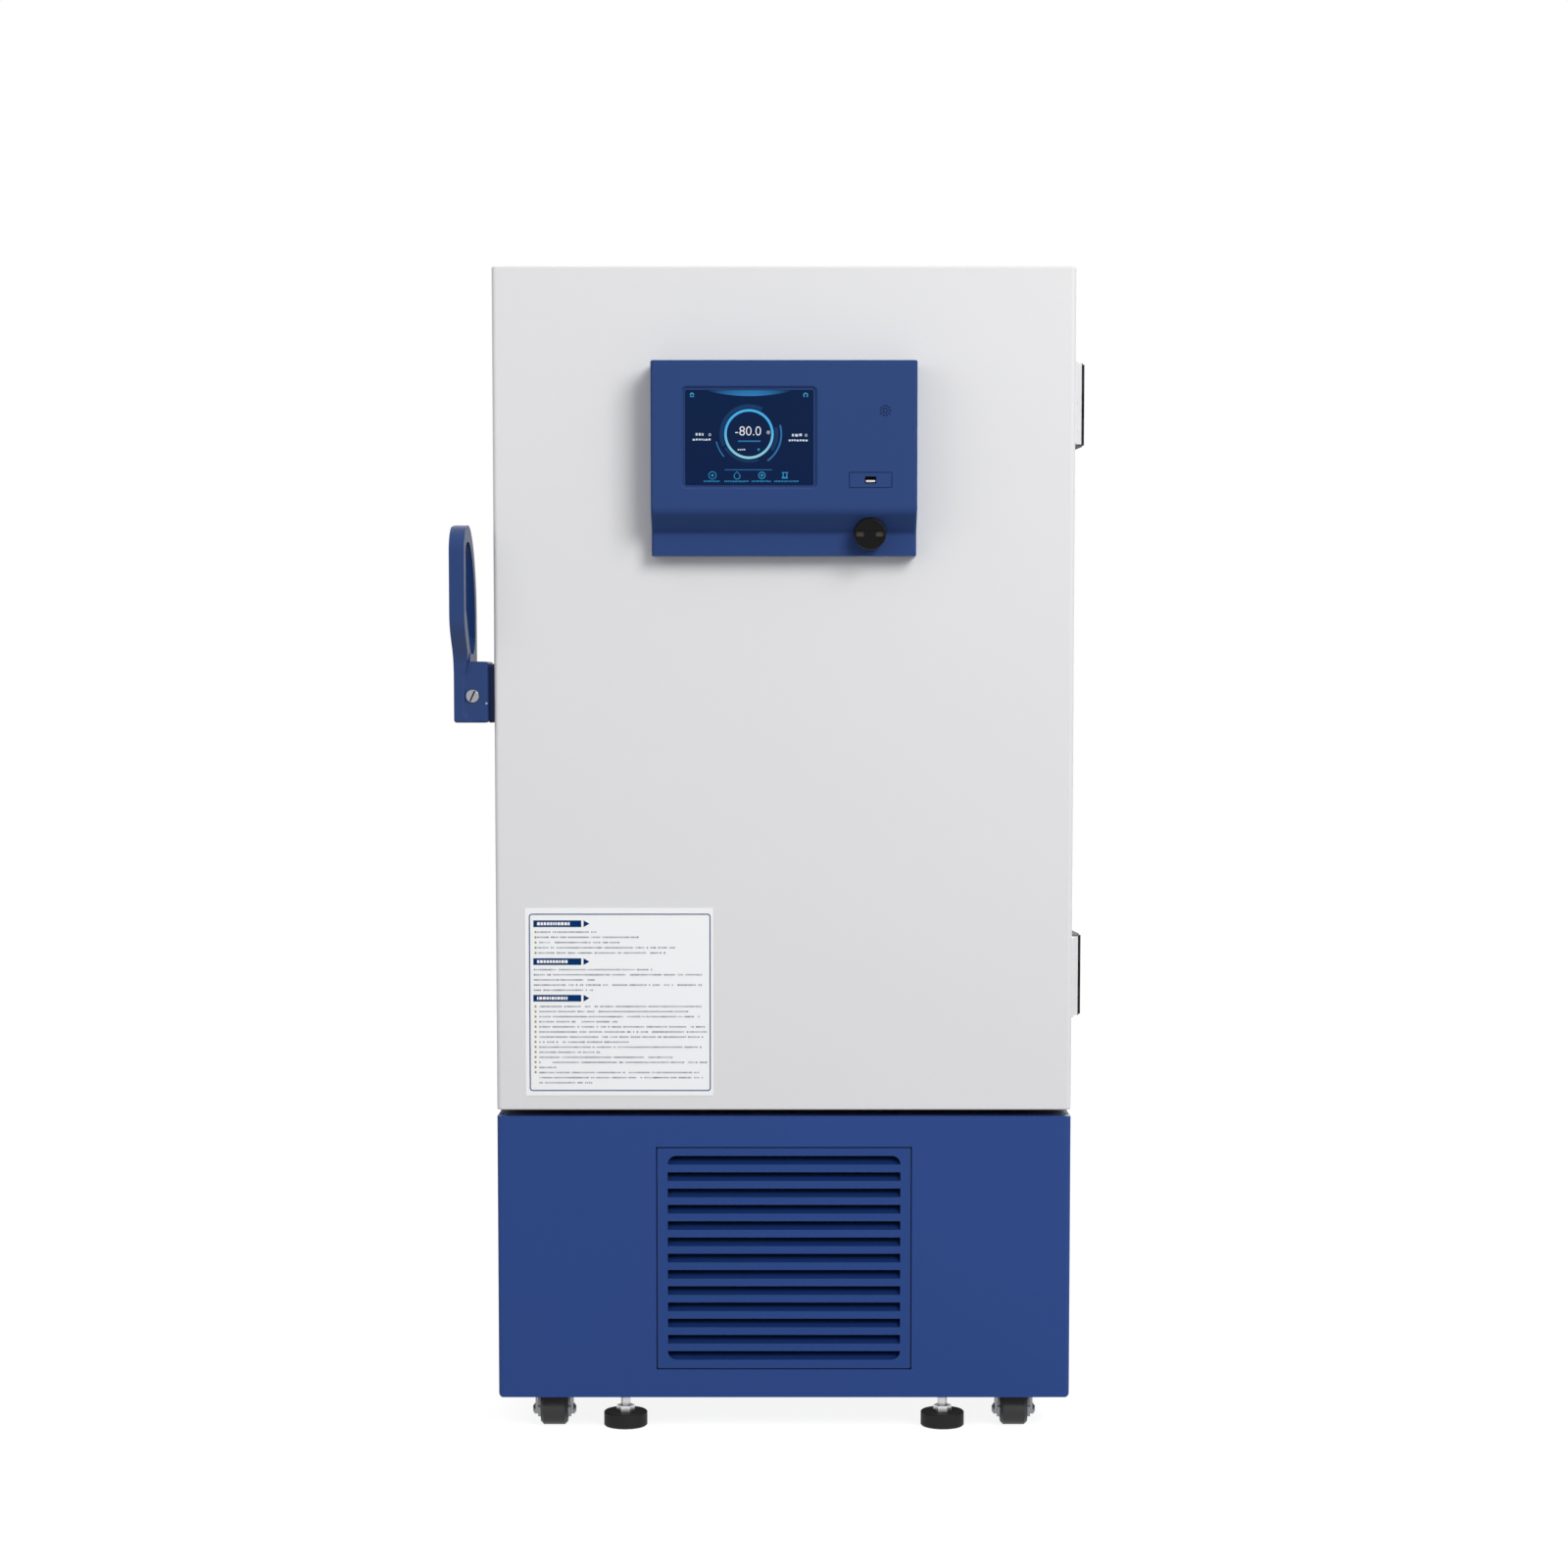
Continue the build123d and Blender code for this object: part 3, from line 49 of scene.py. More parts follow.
# %% [markdown]
# The camera stood five and a half metres in front of the door, a little above its middle, and
# looked slightly down through a shifted lens. The same numbers turn a place in the picture back
# into a place on any upright plane, which is how the printed marks find their seats.

# %% The camera
PICTURE = 1600
FOCAL = 3293.9
TILT = 0.07511
AXIS_ROW = 932.9
EYE = Vector((0.02225, -5.850, 1.2872))

camera_data = bpy.data.cameras.new("camera")
camera_data.sensor_width = 36
camera_data.lens = FOCAL / PICTURE * camera_data.sensor_width
camera_data.shift_y = (AXIS_ROW - PICTURE / 2) / PICTURE
camera = bpy.data.objects.new("camera", camera_data)
camera.location = EYE
camera.rotation_euler = (math.pi / 2 - TILT, 0, 0)
bpy.context.scene.collection.objects.link(camera)
bpy.context.scene.camera = camera
bpy.context.scene.view_settings.view_transform = "Standard"


def seen_at(column, row, y):
    """The x and z at which a place in the picture lies on an upright plane at depth y."""
    right = (column - PICTURE / 2) / FOCAL
    down = (row - AXIS_ROW) / FOCAL
    ray = Vector((right, math.cos(TILT) - down * math.sin(TILT), -math.sin(TILT) - down * math.cos(TILT)))
    place = EYE + ray * ((y - EYE.y) / ray.y)
    return place.x, place.z


print("lens", round(camera_data.lens, 2), "mm")

# %% [markdown]
# Lights, finishes and geometry trees are all made of nodes. One helper adds a node and fills it:
# plain values go to its inputs in turn, and a keyword names a setting or, with an underscore for
# each space, an input. A value that is itself a socket becomes a link.

# %% Helpers for nodes
def feed(tree, socket, value):
    """Gives one input its value or its link."""
    if isinstance(value, bpy.types.NodeSocket):
        tree.links.new(value, socket)
    elif value is not None:
        socket.default_value = value


def fill(tree, node, **values):
    """Gives the named inputs of a node their values or links."""
    for label, value in values.items():
        feed(tree, node.inputs[label.replace("_", " ")], value)


def add(tree, kind, *values, **settings):
    """A new node with its settings and its inputs."""
    node = tree.nodes.new(kind)
    for label, value in settings.items():
        if hasattr(node, label):
            setattr(node, label, value)
        else:
            fill(tree, node, **{label: value})
    for socket, value in zip(node.inputs, values):
        feed(tree, socket, value)
    return node


def maths(tree, operation, *values):
    """The result of a maths node."""
    return add(tree, "ShaderNodeMath", *values, operation=operation).outputs[0]


def scaled(tree, vector, factor):
    """A vector or colour times a factor."""
    return add(tree, "ShaderNodeVectorMath", vector, operation="SCALE", Scale=factor).outputs[0]


def mixed(tree, share, first, second, kind="RGBA"):
    """A blend of two colours or values."""
    return add(tree, "ShaderNodeMix", data_type=kind, Factor=share, A=first, B=second).outputs["Result"]


def along(tree, axis, start, stop, coordinates="Object", **ends):
    """How far a point lies between two levels of an axis: nought to one, or between two ends."""
    split = add(tree, "ShaderNodeSeparateXYZ", add(tree, "ShaderNodeTexCoord").outputs[coordinates])
    return add(tree, "ShaderNodeMapRange", Value=split.outputs[axis], From_Min=start, From_Max=stop,
               **ends).outputs["Result"]


def new_material(name):
    """A material with its tree and its shader."""
    material = bpy.data.materials.new(name)
    material.use_nodes = True
    return material, material.node_tree, material.node_tree.nodes["Principled BSDF"]


# %% [markdown]
# A studio for a white object on white paper needs an even light with a slight direction. The
# world gives most of it. Its rays to the camera, to glossy surfaces and through glass find plain
# white. The rays that light the object find a grey that grows towards the top, so that nothing is
# burnt out and faces that look down, such as the console's brow, stay dark.

# %% Light and backdrop
def shown_rays(tree):
    """One for rays to the camera, off gloss and through glass, and nought for all others."""
    paths = add(tree, "ShaderNodeLightPath").outputs
    direct = maths(tree, "MAXIMUM", paths["Is Camera Ray"], paths["Is Glossy Ray"])
    return maths(tree, "MAXIMUM", direct, paths["Is Transmission Ray"])


def soft_lamp(name, place, size, power):
    """A large square lamp that faces the middle of the freezer."""
    data = bpy.data.lights.new(name, "AREA")
    data.shape = "SQUARE"
    data.size = size
    data.energy = power
    lamp = bpy.data.objects.new(name, data)
    lamp.location = place
    aim = Vector((0, -0.3, 1.0)) - Vector(place)
    lamp.rotation_euler = aim.to_track_quat("-Z", "Y").to_euler()
    bpy.context.scene.collection.objects.link(lamp)


world = bpy.data.worlds.new("studio")
world.use_nodes = True
bpy.context.scene.world = world
tree = world.node_tree
ambient = along(tree, "Z", -0.2, 0.9, "Generated", To_Min=0.40, To_Max=0.60)
level = add(tree, "ShaderNodeMapRange", Value=shown_rays(tree), To_Min=ambient, To_Max=1.0)
fill(tree, tree.nodes["Background"], Color=(1, 1, 1, 1), Strength=level.outputs["Result"])
soft_lamp("key", (3.6, -5.9, 5.0), 3.5, 375)
soft_lamp("fill", (-3.4, -3.6, 2.4), 2.6, 24)
soft_lamp("rear", (1.5, 5.2, 2.4), 2.6, 85)

# %% [markdown]
# The floor is a broad sheet that shows white to the camera and still takes the freezer's shadow.
# A diffuse surface is added to a steady glow, so the open floor passes white and only the shade
# under the base draws it down.

# %% The floor
bpy.ops.mesh.primitive_plane_add(size=30, location=(0, 0, 0))
floor = bpy.context.object
floor.name = "floor"
floor_paint, tree, shader = new_material("floor_paint")
tree.nodes.remove(shader)
glow = add(tree, "ShaderNodeEmission", Color=(1, 1, 1, 1), Strength=0.86)
shade = add(tree, "ShaderNodeBsdfDiffuse", Color=(0.30, 0.30, 0.31, 1))
both = add(tree, "ShaderNodeAddShader", glow.outputs[0], shade.outputs[0])
pick = add(tree, "ShaderNodeMixShader", shown_rays(tree), shade.outputs[0], both.outputs[0])
fill(tree, tree.nodes["Material Output"], Surface=pick.outputs[0])
floor.data.materials.append(floor_paint)

# %% [markdown]
# Every finish starts from a colour that a paint chart would give in steps of 0 to 255. Blender
# works with linear light, so a small helper turns one into the other.

# %% Colours


def paint(red, green, blue):
    """A chart colour made linear."""
    def linear(step):
        step /= 255
        return step / 12.92 if step <= 0.04045 else ((step + 0.055) / 1.055) ** 2.4
    return (linear(red), linear(green), linear(blue), 1.0)


WHITE, BLACK = paint(226, 226, 227), paint(12, 12, 13)

# %% [markdown]
# Powder coat and moulded plastic are never quite flat. A fine, even grain breaks the gloss, and
# over a hand's width the tone drifts a little. Dust lies on what faces up. Coats, plastics and
# rubber share one node group, whose inputs set how fine and how strong all that is.

# %% A shared group for grained surfaces
FLOAT, COLOUR, VECTOR = "NodeSocketFloat", "NodeSocketColor", "NodeSocketVector"
GEOMETRY, WHOLE, MATERIAL = "NodeSocketGeometry", "NodeSocketInt", "NodeSocketMaterial"
LOOK = [("Colour", COLOUR), ("Roughness", FLOAT), ("Height", FLOAT)]
DUST = (0.42, 0.41, 0.39, 1)


def new_group(name, kind, inputs, outputs):
    """An empty node group with named sockets, the sockets that it is given and its output node."""
    group = bpy.data.node_groups.new(name, kind)
    for label, socket_kind, value in inputs:
        socket = group.interface.new_socket(label, in_out="INPUT", socket_type=socket_kind)
        if value is not None:
            socket.default_value = value
    for label, socket_kind in outputs:
        group.interface.new_socket(label, in_out="OUTPUT", socket_type=socket_kind)
    return group, group.nodes.new("NodeGroupInput").outputs, group.nodes.new("NodeGroupOutput")


def noise(tree, vector, scale, detail=2.0):
    """A noise at the given coordinates."""
    return add(tree, "ShaderNodeTexNoise", Vector=vector, Scale=scale, Detail=detail).outputs["Fac"]


def swing(tree, value, reach, middle):
    """A noise turned into a value that swings round a middle."""
    return maths(tree, "MULTIPLY_ADD", maths(tree, "SUBTRACT", value, 0.5), reach, middle)


grain_group, given, result = new_group("grained_surface", "ShaderNodeTree", [
    ("Colour", COLOUR, (0.8, 0.8, 0.8, 1)), ("Roughness", FLOAT, 0.4), ("Grain", FLOAT, 900.0),
    ("Drift", FLOAT, 0.03), ("Dust", FLOAT, 0.1)], LOOK)
tree = grain_group
place = add(tree, "ShaderNodeTexCoord").outputs["Object"]
fine = noise(tree, place, given["Grain"])
tone = scaled(tree, given["Colour"], swing(tree, noise(tree, place, 2.3, 3.0), given["Drift"], 1.0))
facing = add(tree, "ShaderNodeSeparateXYZ", add(tree, "ShaderNodeNewGeometry").outputs["Normal"])
upward = maths(tree, "MAXIMUM", facing.outputs["Z"], 0.0)
dusty = maths(tree, "MULTIPLY", maths(tree, "MULTIPLY", upward, noise(tree, place, 14.0, 4.0)), given["Dust"])
rough = maths(tree, "MULTIPLY_ADD", dusty, 0.4, swing(tree, fine, 0.14, given["Roughness"]))
fill(tree, result, Colour=mixed(tree, dusty, tone, DUST), Roughness=rough, Height=fine)

# %% [markdown]
# Drawn and brushed metal has long fine scratches in one direction. Stretching the coordinates
# before the noise gives them, and the stretch is an input, so that steel sheet, zinc plate and
# copper tube can use the same group.

# %% A shared group for brushed metal
brush_group, given, result = new_group("brushed_metal", "ShaderNodeTree", [
    ("Colour", COLOUR, (0.6, 0.6, 0.6, 1)), ("Roughness", FLOAT, 0.3), ("Stretch", VECTOR, (8, 400, 400)),
    ("Stain", FLOAT, 0.1)], LOOK)
tree = brush_group
place = add(tree, "ShaderNodeTexCoord").outputs["Object"]
pulled = add(tree, "ShaderNodeVectorMath", place, given["Stretch"], operation="MULTIPLY")
lines = noise(tree, pulled.outputs[0], 1.0, 3.0)
fade = swing(tree, lines, 0.12, swing(tree, noise(tree, place, 16.0, 4.0), given["Stain"], 1.0))
fill(tree, result, Colour=scaled(tree, given["Colour"], fade),
     Roughness=swing(tree, lines, 0.2, given["Roughness"]), Height=lines)

# %% [markdown]
# Each finish is then one short call: a shader, one of the two groups, and a bump whose depth is
# that of the real grain, a few hundredths of a millimetre.

# %% A maker of finishes
def finish(name, colour, roughness, relief, group=grain_group, specular=0.5, **values):
    """A material from a group's look. The relief is in millimetres, and a brushed look is metal."""
    material, tree, shader = new_material(name)
    look = add(tree, "ShaderNodeGroup", node_tree=group, Colour=colour, Roughness=roughness, **values).outputs
    bump = add(tree, "ShaderNodeBump", Strength=1.0, Distance=relief / 1000, Height=look["Height"])
    fill(tree, shader, Base_Color=look["Colour"], Roughness=look["Roughness"], Normal=bump.outputs[0],
         Metallic=float(group == brush_group), Specular_IOR_Level=specular)
    return material


def wear(material, *names):
    """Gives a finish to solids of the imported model."""
    for name in names:
        slots = nodes[name].data.materials
        slots.clear()
        slots.append(material)


# %% [markdown]
# A solid of the model is one piece even where the real one is two materials, such as a steel stem
# in a rubber pad. Such a solid gets both finishes in one material. A level along one axis of the
# Object coordinates decides which of them is seen, sharply or over a short distance.

# %% A finish in two zones
# The same split also carries painted shade: a darker far zone on the grille's blades and in the lock's slot.
def zoned(name, axis, start, stop, near, far, gloss=0.3):
    """Two finishes in one: near below the start level, far above the stop level, in metres."""
    material, tree, shader = new_material(name)
    share = along(tree, axis, start, stop)
    looks = []
    for group, colour, roughness in (near, far):
        look = add(tree, "ShaderNodeGroup", node_tree=group, Colour=colour, Roughness=roughness)
        if group == grain_group:
            fill(tree, look, Dust=0.01)
        looks.append(look.outputs)
    bump = add(tree, "ShaderNodeBump", Distance=0.00002, Height=looks[0]["Height"])
    metallic, far_metallic = (float(group == brush_group) for group, *rest in (near, far))
    if metallic != far_metallic:
        metallic = maths(tree, "MULTIPLY_ADD", share, far_metallic - metallic, metallic)
    fill(tree, shader, Base_Color=mixed(tree, share, looks[0]["Colour"], looks[1]["Colour"]),
         Roughness=mixed(tree, share, looks[0]["Roughness"], looks[1]["Roughness"], "FLOAT"),
         Normal=bump.outputs[0], Metallic=metallic, Specular_IOR_Level=gloss)
    return material


# %% [markdown]
# The cabinet and door are folded steel sheet with a white powder coat, and the base is the same
# sheet coated blue. Powder coat has a pebbled skin with about a millimetre between pebbles.

# %% Coats on sheet steel
PEBBLES = 1100.0
wear(finish("white_coat", WHITE, 0.42, 0.02, Grain=PEBBLES, Dust=0.05),
     "side_panel_left", "side_panel_right", "top_panel", "back_panel", "door_outer_skin",
     "base_side_panel_left", "base_side_panel_right", "base_rear_grille")
wear(finish("blue_coat", paint(39, 69, 133), 0.42, 0.02, specular=0.22, Grain=PEBBLES, Drift=0.09, Dust=0.05),
     "base_front_panel")
# The deck's dark colour is painted shade, the shade of the door above it; its dust is real.
wear(finish("deck_painted_shade", paint(24, 30, 50), 0.5, 0.02, specular=0.2, Dust=0.3), "base_deck")
wear(finish("black_coat", paint(16, 16, 17), 0.6, 0.02, specular=0.15), "hinge_cabinet_leaf_upper",
     "hinge_cabinet_leaf_lower", "compressor_high_stage", "compressor_low_stage", "fan_motor")
wear(finish("box_coat", paint(150, 152, 154), 0.45, 0.02, Dust=0.3), "electrical_box")

# %% [markdown]
# A hinge's door leaf is white in front and black behind its barrel. The grille's face is blue, and
# its blades lie in the shade, so just behind the face they get a deeper blue that is painted shade.

# %% Coats in two zones
BARREL_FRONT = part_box("hinge_cabinet_leaf_upper")[0].y
CHEEK_FRONT = BARREL_FRONT - 0.0192
wear(zoned("hinge_coat", "Y", CHEEK_FRONT + 0.0006, CHEEK_FRONT + 0.0008, (grain_group, WHITE, 0.42),
           (grain_group, BLACK, 0.8), gloss=0.1), "hinge_door_leaf_upper", "hinge_door_leaf_lower")
grille_low, grille_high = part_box("front_grille")
# The far zone's deeper blue on the blades is painted shade.
wear(zoned("louvre_painted_shade", "Y", grille_low.y + 0.0005, grille_low.y + 0.0009,
           (grain_group, paint(48, 75, 136), 0.42), (grain_group, paint(15, 43, 96), 0.6), gloss=0.06),
     "front_grille")

# %% [markdown]
# The console, the lever and the fittings are moulded. Their tools were spark-eroded, which
# leaves a finer and deeper grain than powder has.

# %% Moulded plastics
SPARKS = 1700.0
CONSOLE_BLUE = paint(46, 70, 122)
wear(finish("console_blue", CONSOLE_BLUE, 0.46, 0.025, specular=0.07, Grain=SPARKS, Drift=0.05, Dust=0.06),
     "control_housing", "screen_bezel")
wear(finish("handle_blue", paint(28, 59, 114), 0.2, 0.008, specular=0.3, Grain=SPARKS, Drift=0.08, Dust=0.05),
     "handle_lever")
# The bracket's very dark blue is painted shade, for its recessed face that lies in shade.
wear(finish("bracket_painted_shade", paint(13, 24, 56), 0.4, 0.015, specular=0.15, Grain=SPARKS), "handle_bracket")
wear(finish("black_plastic", paint(34, 33, 32), 0.4, 0.03, specular=0.35, Grain=1500.0, Dust=0.15),
     "fan_shroud", "condenser_fan", "rear_bumpers", "cord_gland")
wear(finish("pale_plastic", paint(222, 224, 226), 0.4, 0.03, Grain=1200.0, Dust=0.03),
     "door_inner_panel", "breaker_frame", "inner_door_upper", "inner_door_lower")
wear(finish("seal_rubber", paint(176, 178, 181), 0.55, 0.04, specular=0.3, Grain=800.0), "door_gasket")
wear(finish("foam", paint(222, 205, 160), 0.85, 0.4, specular=0.2, Grain=420.0, Drift=0.2),
     "cabinet_insulation", "door_insulation")
wear(finish("filter_mesh", paint(30, 32, 38), 0.7, 0.3, specular=0.15, Grain=1500.0, Dust=0.3), "air_filter")
wear(finish("nylon", paint(44, 44, 46), 0.42, 0.04, specular=0.4, Dust=0.4),
     *["caster_wheel_" + corner for corner in CORNERS])

# %% [markdown]
# The knob's face is glossier and darker than the wall behind its rim, and the socket is blue in
# front and black in its opening. A foot is a rubber pad below and a steel stem above.

# %% Plastics in two zones
KNOB_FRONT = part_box("control_knob")[0].y
SOCKET_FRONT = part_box("usb_port")[0].y + 0.0012
PAD_TOP = 0.025
wear(zoned("knob_black", "Y", KNOB_FRONT + 0.0042, KNOB_FRONT + 0.0048,
           (grain_group, paint(13, 13, 14), 0.34), (grain_group, paint(74, 69, 60), 0.45), gloss=0.1),
     "control_knob")
wear(zoned("socket_blue", "Y", SOCKET_FRONT, SOCKET_FRONT + 0.0002, (grain_group, CONSOLE_BLUE, 0.46),
           (grain_group, BLACK, 0.5), gloss=0.07), "usb_port")
wear(zoned("foot_finish", "Z", PAD_TOP, PAD_TOP + 0.0002, (grain_group, paint(13, 13, 14), 0.6),
           (brush_group, (0.78, 0.78, 0.79, 1), 0.28)), "foot_left", "foot_right")

# %% [markdown]
# Inside, the liner and shelves are brushed stainless sheet. The pan, latch and casters are zinc
# plated, the lock is polished round a slot whose near-black inside is painted shade, and the tubes are
# copper.

# %% Metals
LOCK_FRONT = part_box("lock_cylinder")[0].y
wear(finish("stainless", (0.60, 0.60, 0.61, 1), 0.32, 0.01, brush_group, Stretch=(6, 300, 300), Stain=0.06),
     "inner_liner", "shelf_lower", "shelf_middle", "shelf_upper", "shelf_rails")
wear(finish("zinc", (0.25, 0.26, 0.27, 1), 0.38, 0.01, brush_group, Stretch=(60, 60, 200), Stain=0.25),
     "chassis_pan", "latch_striker", "latch_hook", *["caster_fork_" + corner for corner in CORNERS])
# The slot's near-black far zone is painted shade.
wear(zoned("lock_metal_painted_shade_slot", "Y", LOCK_FRONT + 0.0004, LOCK_FRONT + 0.0009,
           (brush_group, (0.35, 0.36, 0.385, 1), 0.24), (brush_group, (0.02, 0.02, 0.03, 1), 0.5)),
     "lock_cylinder")
copper = finish("copper", (0.72, 0.40, 0.27, 1), 0.3, 0.01, brush_group, Stretch=(90, 90, 90), Stain=0.4)
wear(copper, "evaporator_coil", "refrigerant_pipes")
wear(finish("fin_metal", (0.66, 0.67, 0.68, 1), 0.4, 0.02, brush_group, Stretch=(900, 20, 20), Stain=0.15),
     "condenser")
bright_steel = finish("bright_steel", (0.70, 0.70, 0.71, 1), 0.22, 0.006, brush_group,
                      Stretch=(300, 300, 30), Stain=0.1)

# %% [markdown]
# The display's glass is nearly black when it is off. A low specular level stands for its
# anti-glare layer, and the picture itself is laid over it as thin lit shapes.

# %% The display's glass
glass_face, tree, shader = new_material("glass_face")
smear = noise(tree, add(tree, "ShaderNodeTexCoord").outputs["Object"], 30.0, 3.0)
fill(tree, shader, Base_Color=mixed(tree, smear, paint(8, 14, 30), paint(12, 19, 38)),
     Roughness=maths(tree, "MULTIPLY_ADD", smear, 0.2, 0.12), Specular_IOR_Level=0.12)
wear(glass_face, "touch_screen")

# %% [markdown]
# A thin printed or lit mark, or a thin line of painted shade, is an outline filled flat and set a
# tenth of a millimetre in front of its carrier. One helper gathers many such outlines into one mesh, so a
# whole drawing is one piece.

# %% Flat marks
def piece(name, mesh, body, material=None):
    """Puts a mesh into the scene as a piece that rides on a body."""
    if material:
        mesh.materials.append(material)
    item = bpy.data.objects.new(name, mesh)
    bpy.context.scene.collection.objects.link(item)
    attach(item, body)
    return item


def flat_piece(name, shapes, y, material, body="outer_door", thickness=0.0):
    """A piece made of filled outlines in x and z, all facing the front at depth y."""
    mesh = bpy.data.meshes.new(name)
    build = bmesh.new()
    for outline in shapes:
        face = build.faces.new([build.verts.new((x, y, z)) for x, z in outline])
        face.normal_update()
        if face.normal.y > 0:
            face.normal_flip()
    if thickness:
        bmesh.ops.solidify(build, geom=list(build.faces), thickness=thickness)
        bmesh.ops.recalc_face_normals(build, faces=list(build.faces))
    build.to_mesh(mesh)
    build.free()
    piece(name, mesh, body, material)


def bar(left, right, low, high):
    """A rectangle as an outline."""
    return [(left, low), (right, low), (right, high), (left, high)]


def arc_strips(centre, inner, outer, start, stop, steps):
    """A ring or a part of one as a row of four-sided outlines. Angles are in degrees from +X."""
    strips = []
    for step in range(steps):
        angles = [math.radians(start + (stop - start) * (step + end) / steps) for end in (0, 1)]
        strips.append([(centre[0] + radius * math.cos(angle), centre[1] + radius * math.sin(angle))
                       for angle, radius in ((angles[0], inner), (angles[0], outer),
                                             (angles[1], outer), (angles[1], inner))])
    return strips


# %% [markdown]
# The display draws a reading in a ring, with icons under it. Lit marks need a shader that gives
# light instead of reflecting it. A ramp along the height turns the ring from pale green at its foot
# to cyan at its top, and Object coordinates tie the ramp to the piece.

# %% Lit finishes
def glowing(name):
    """A material that shines and hardly reflects, with its tree and its shader."""
    material, tree, shader = new_material(name)
    fill(tree, shader, Base_Color=(0, 0, 0, 1), Roughness=0.5, Specular_IOR_Level=0.05, Emission_Strength=1.0)
    return material, tree, shader


def lit(name, low_colour, high_colour, low, high):
    """A glow whose colour changes with height between two levels in metres."""
    material, tree, shader = glowing(name)
    fill(tree, shader, Emission_Color=mixed(tree, along(tree, "Z", low, high), low_colour, high_colour))
    return material


# %% [markdown]
# The marks were measured on the photograph in a drawing of its own, 1360 units wide and 1012
# high, with its corner at the top left of the glass. Helpers turn such places and radii into x
# and z, and lay each drawing on the glass in its own layer, a tenth of a millimetre thick.

# %% The display's own drawing frame
glass_low, glass_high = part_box("touch_screen")
GLASS_Y = glass_low.y
SCREEN = (glass_low.z, glass_high.z)
LAYER = 0.0001
DRAWING = (1360, 1012)
UNIT = (glass_high.x - glass_low.x) / DRAWING[0]


def on_glass(across, down):
    """A place of the drawing as x and z on the glass."""
    return glass_low.x + across * UNIT, glass_high.z - down * (glass_high.z - glass_low.z) / DRAWING[1]


def glass_bar(left, top, width, height):
    """A rectangle of the drawing as an outline on the glass."""
    (x, z), (x_end, z_end) = on_glass(left, top), on_glass(left + width, top + height)
    return bar(x, x_end, z_end, z)


def glass_arc(centre, inner, outer, start=0, stop=360, steps=16):
    """A ring or arc on the glass, with its radii in units of the drawing."""
    return arc_strips(centre, inner * UNIT, outer * UNIT, start, stop, steps)


def display(name, shapes, material, layers=3):
    """Shapes on the glass as one piece."""
    flat_piece(name, shapes, GLASS_Y - layers * LAYER, material)


# %% [markdown]
# The picture's ground is a dark navy sheet, a shade lighter at the top, with a lens of light
# that hangs from its upper edge. The lens is a strip whose lower edge is an arc, cut in columns
# so that its colour, kept on the mesh as a colour attribute, can fade towards both ends.

# %% Ground and light lens
display("display_ground", [glass_bar(2, 2, DRAWING[0] - 4, DRAWING[1] - 4)],
        lit("display_ground", paint(5, 29, 69), paint(5, 31, 69), *SCREEN), 1)
NAVY, SKY = Vector(paint(7, 31, 69)), Vector(paint(46, 121, 182))
tinted, tree, shader = glowing("display_tinted")
tint_node = add(tree, "ShaderNodeAttribute", attribute_name="tint")
fill(tree, shader, Emission_Color=tint_node.outputs["Color"])
LENS_LEFT, LENS_RIGHT, LENS_TOP, LENS_DROP, LENS_STEPS = 205, 1160, 3, 62, 40
points, tints = [], []
for count in range(LENS_STEPS + 1):
    share = count / LENS_STEPS
    bulge = 1 - (2 * share - 1) ** 2
    x, top = on_glass(LENS_LEFT + (LENS_RIGHT - LENS_LEFT) * share, LENS_TOP)
    bottom = on_glass(0, LENS_TOP + LENS_DROP * bulge)[1]
    light = NAVY.lerp(SKY, bulge ** 1.5)
    points += [(x, GLASS_Y - 2 * LAYER, bottom), (x, GLASS_Y - 2 * LAYER, top)]
    tints += [light, NAVY.lerp(light, 0.75)]
mesh = bpy.data.meshes.new("display_lens")
mesh.from_pydata(points, [], [(first, first + 2, first + 3, first + 1)
                              for first in range(0, 2 * LENS_STEPS, 2)])
layer = mesh.color_attributes.new("tint", "FLOAT_COLOR", "POINT")
for entry, tint in zip(layer.data, tints):
    entry.color = tint
piece("display_lens", mesh, "outer_door", tinted)

# %% [markdown]
# The ring and the arcs round it are rows of small four-sided outlines between two radii.

# %% Ring and arcs
RING = on_glass(677, 467)


def ring_glow(name, low_colour, high_colour, below, above):
    """A glow that changes between two heights round the ring's middle, in units of the drawing."""
    return lit(name, low_colour, high_colour, RING[1] - below * UNIT, RING[1] + above * UNIT)


display("display_ring", glass_arc(RING, 236, 262, steps=72),
        ring_glow("display_ring", paint(140, 205, 215), paint(72, 172, 230), 240, 60))
display("display_arcs", glass_arc(RING, 333, 352, -55, 16, 22) + glass_arc(RING, 348, 362, 193, 222, 10)
        + [glass_bar(560, 535, 240, 16), glass_bar(420, 842, 500, 9)],
        ring_glow("display_arcs", paint(42, 105, 155), paint(48, 112, 165), 300, 200))
display("display_dim", glass_arc(RING, 272, 312, 62, 205, 30) + glass_arc(RING, 272, 300, -150, -70, 20)
        + glass_arc(RING, 276, 312, -35, 14, 12),
        ring_glow("display_dim", paint(18, 50, 92), paint(22, 58, 100), 300, 300), 2.5)

# %% [markdown]
# The reading is real text, because a text object knows the shapes of figures. It becomes a mesh
# before it gets its place, so that its object can stay at the origin like every other piece.

# %% The reading
def settled(holder, name):
    """The final mesh of a helper object, which is then removed."""
    bpy.context.scene.collection.objects.link(holder)
    bpy.context.view_layer.update()
    mesh = bpy.data.meshes.new_from_object(holder.evaluated_get(bpy.context.evaluated_depsgraph_get()))
    bpy.data.objects.remove(holder)
    mesh.name = name
    return mesh


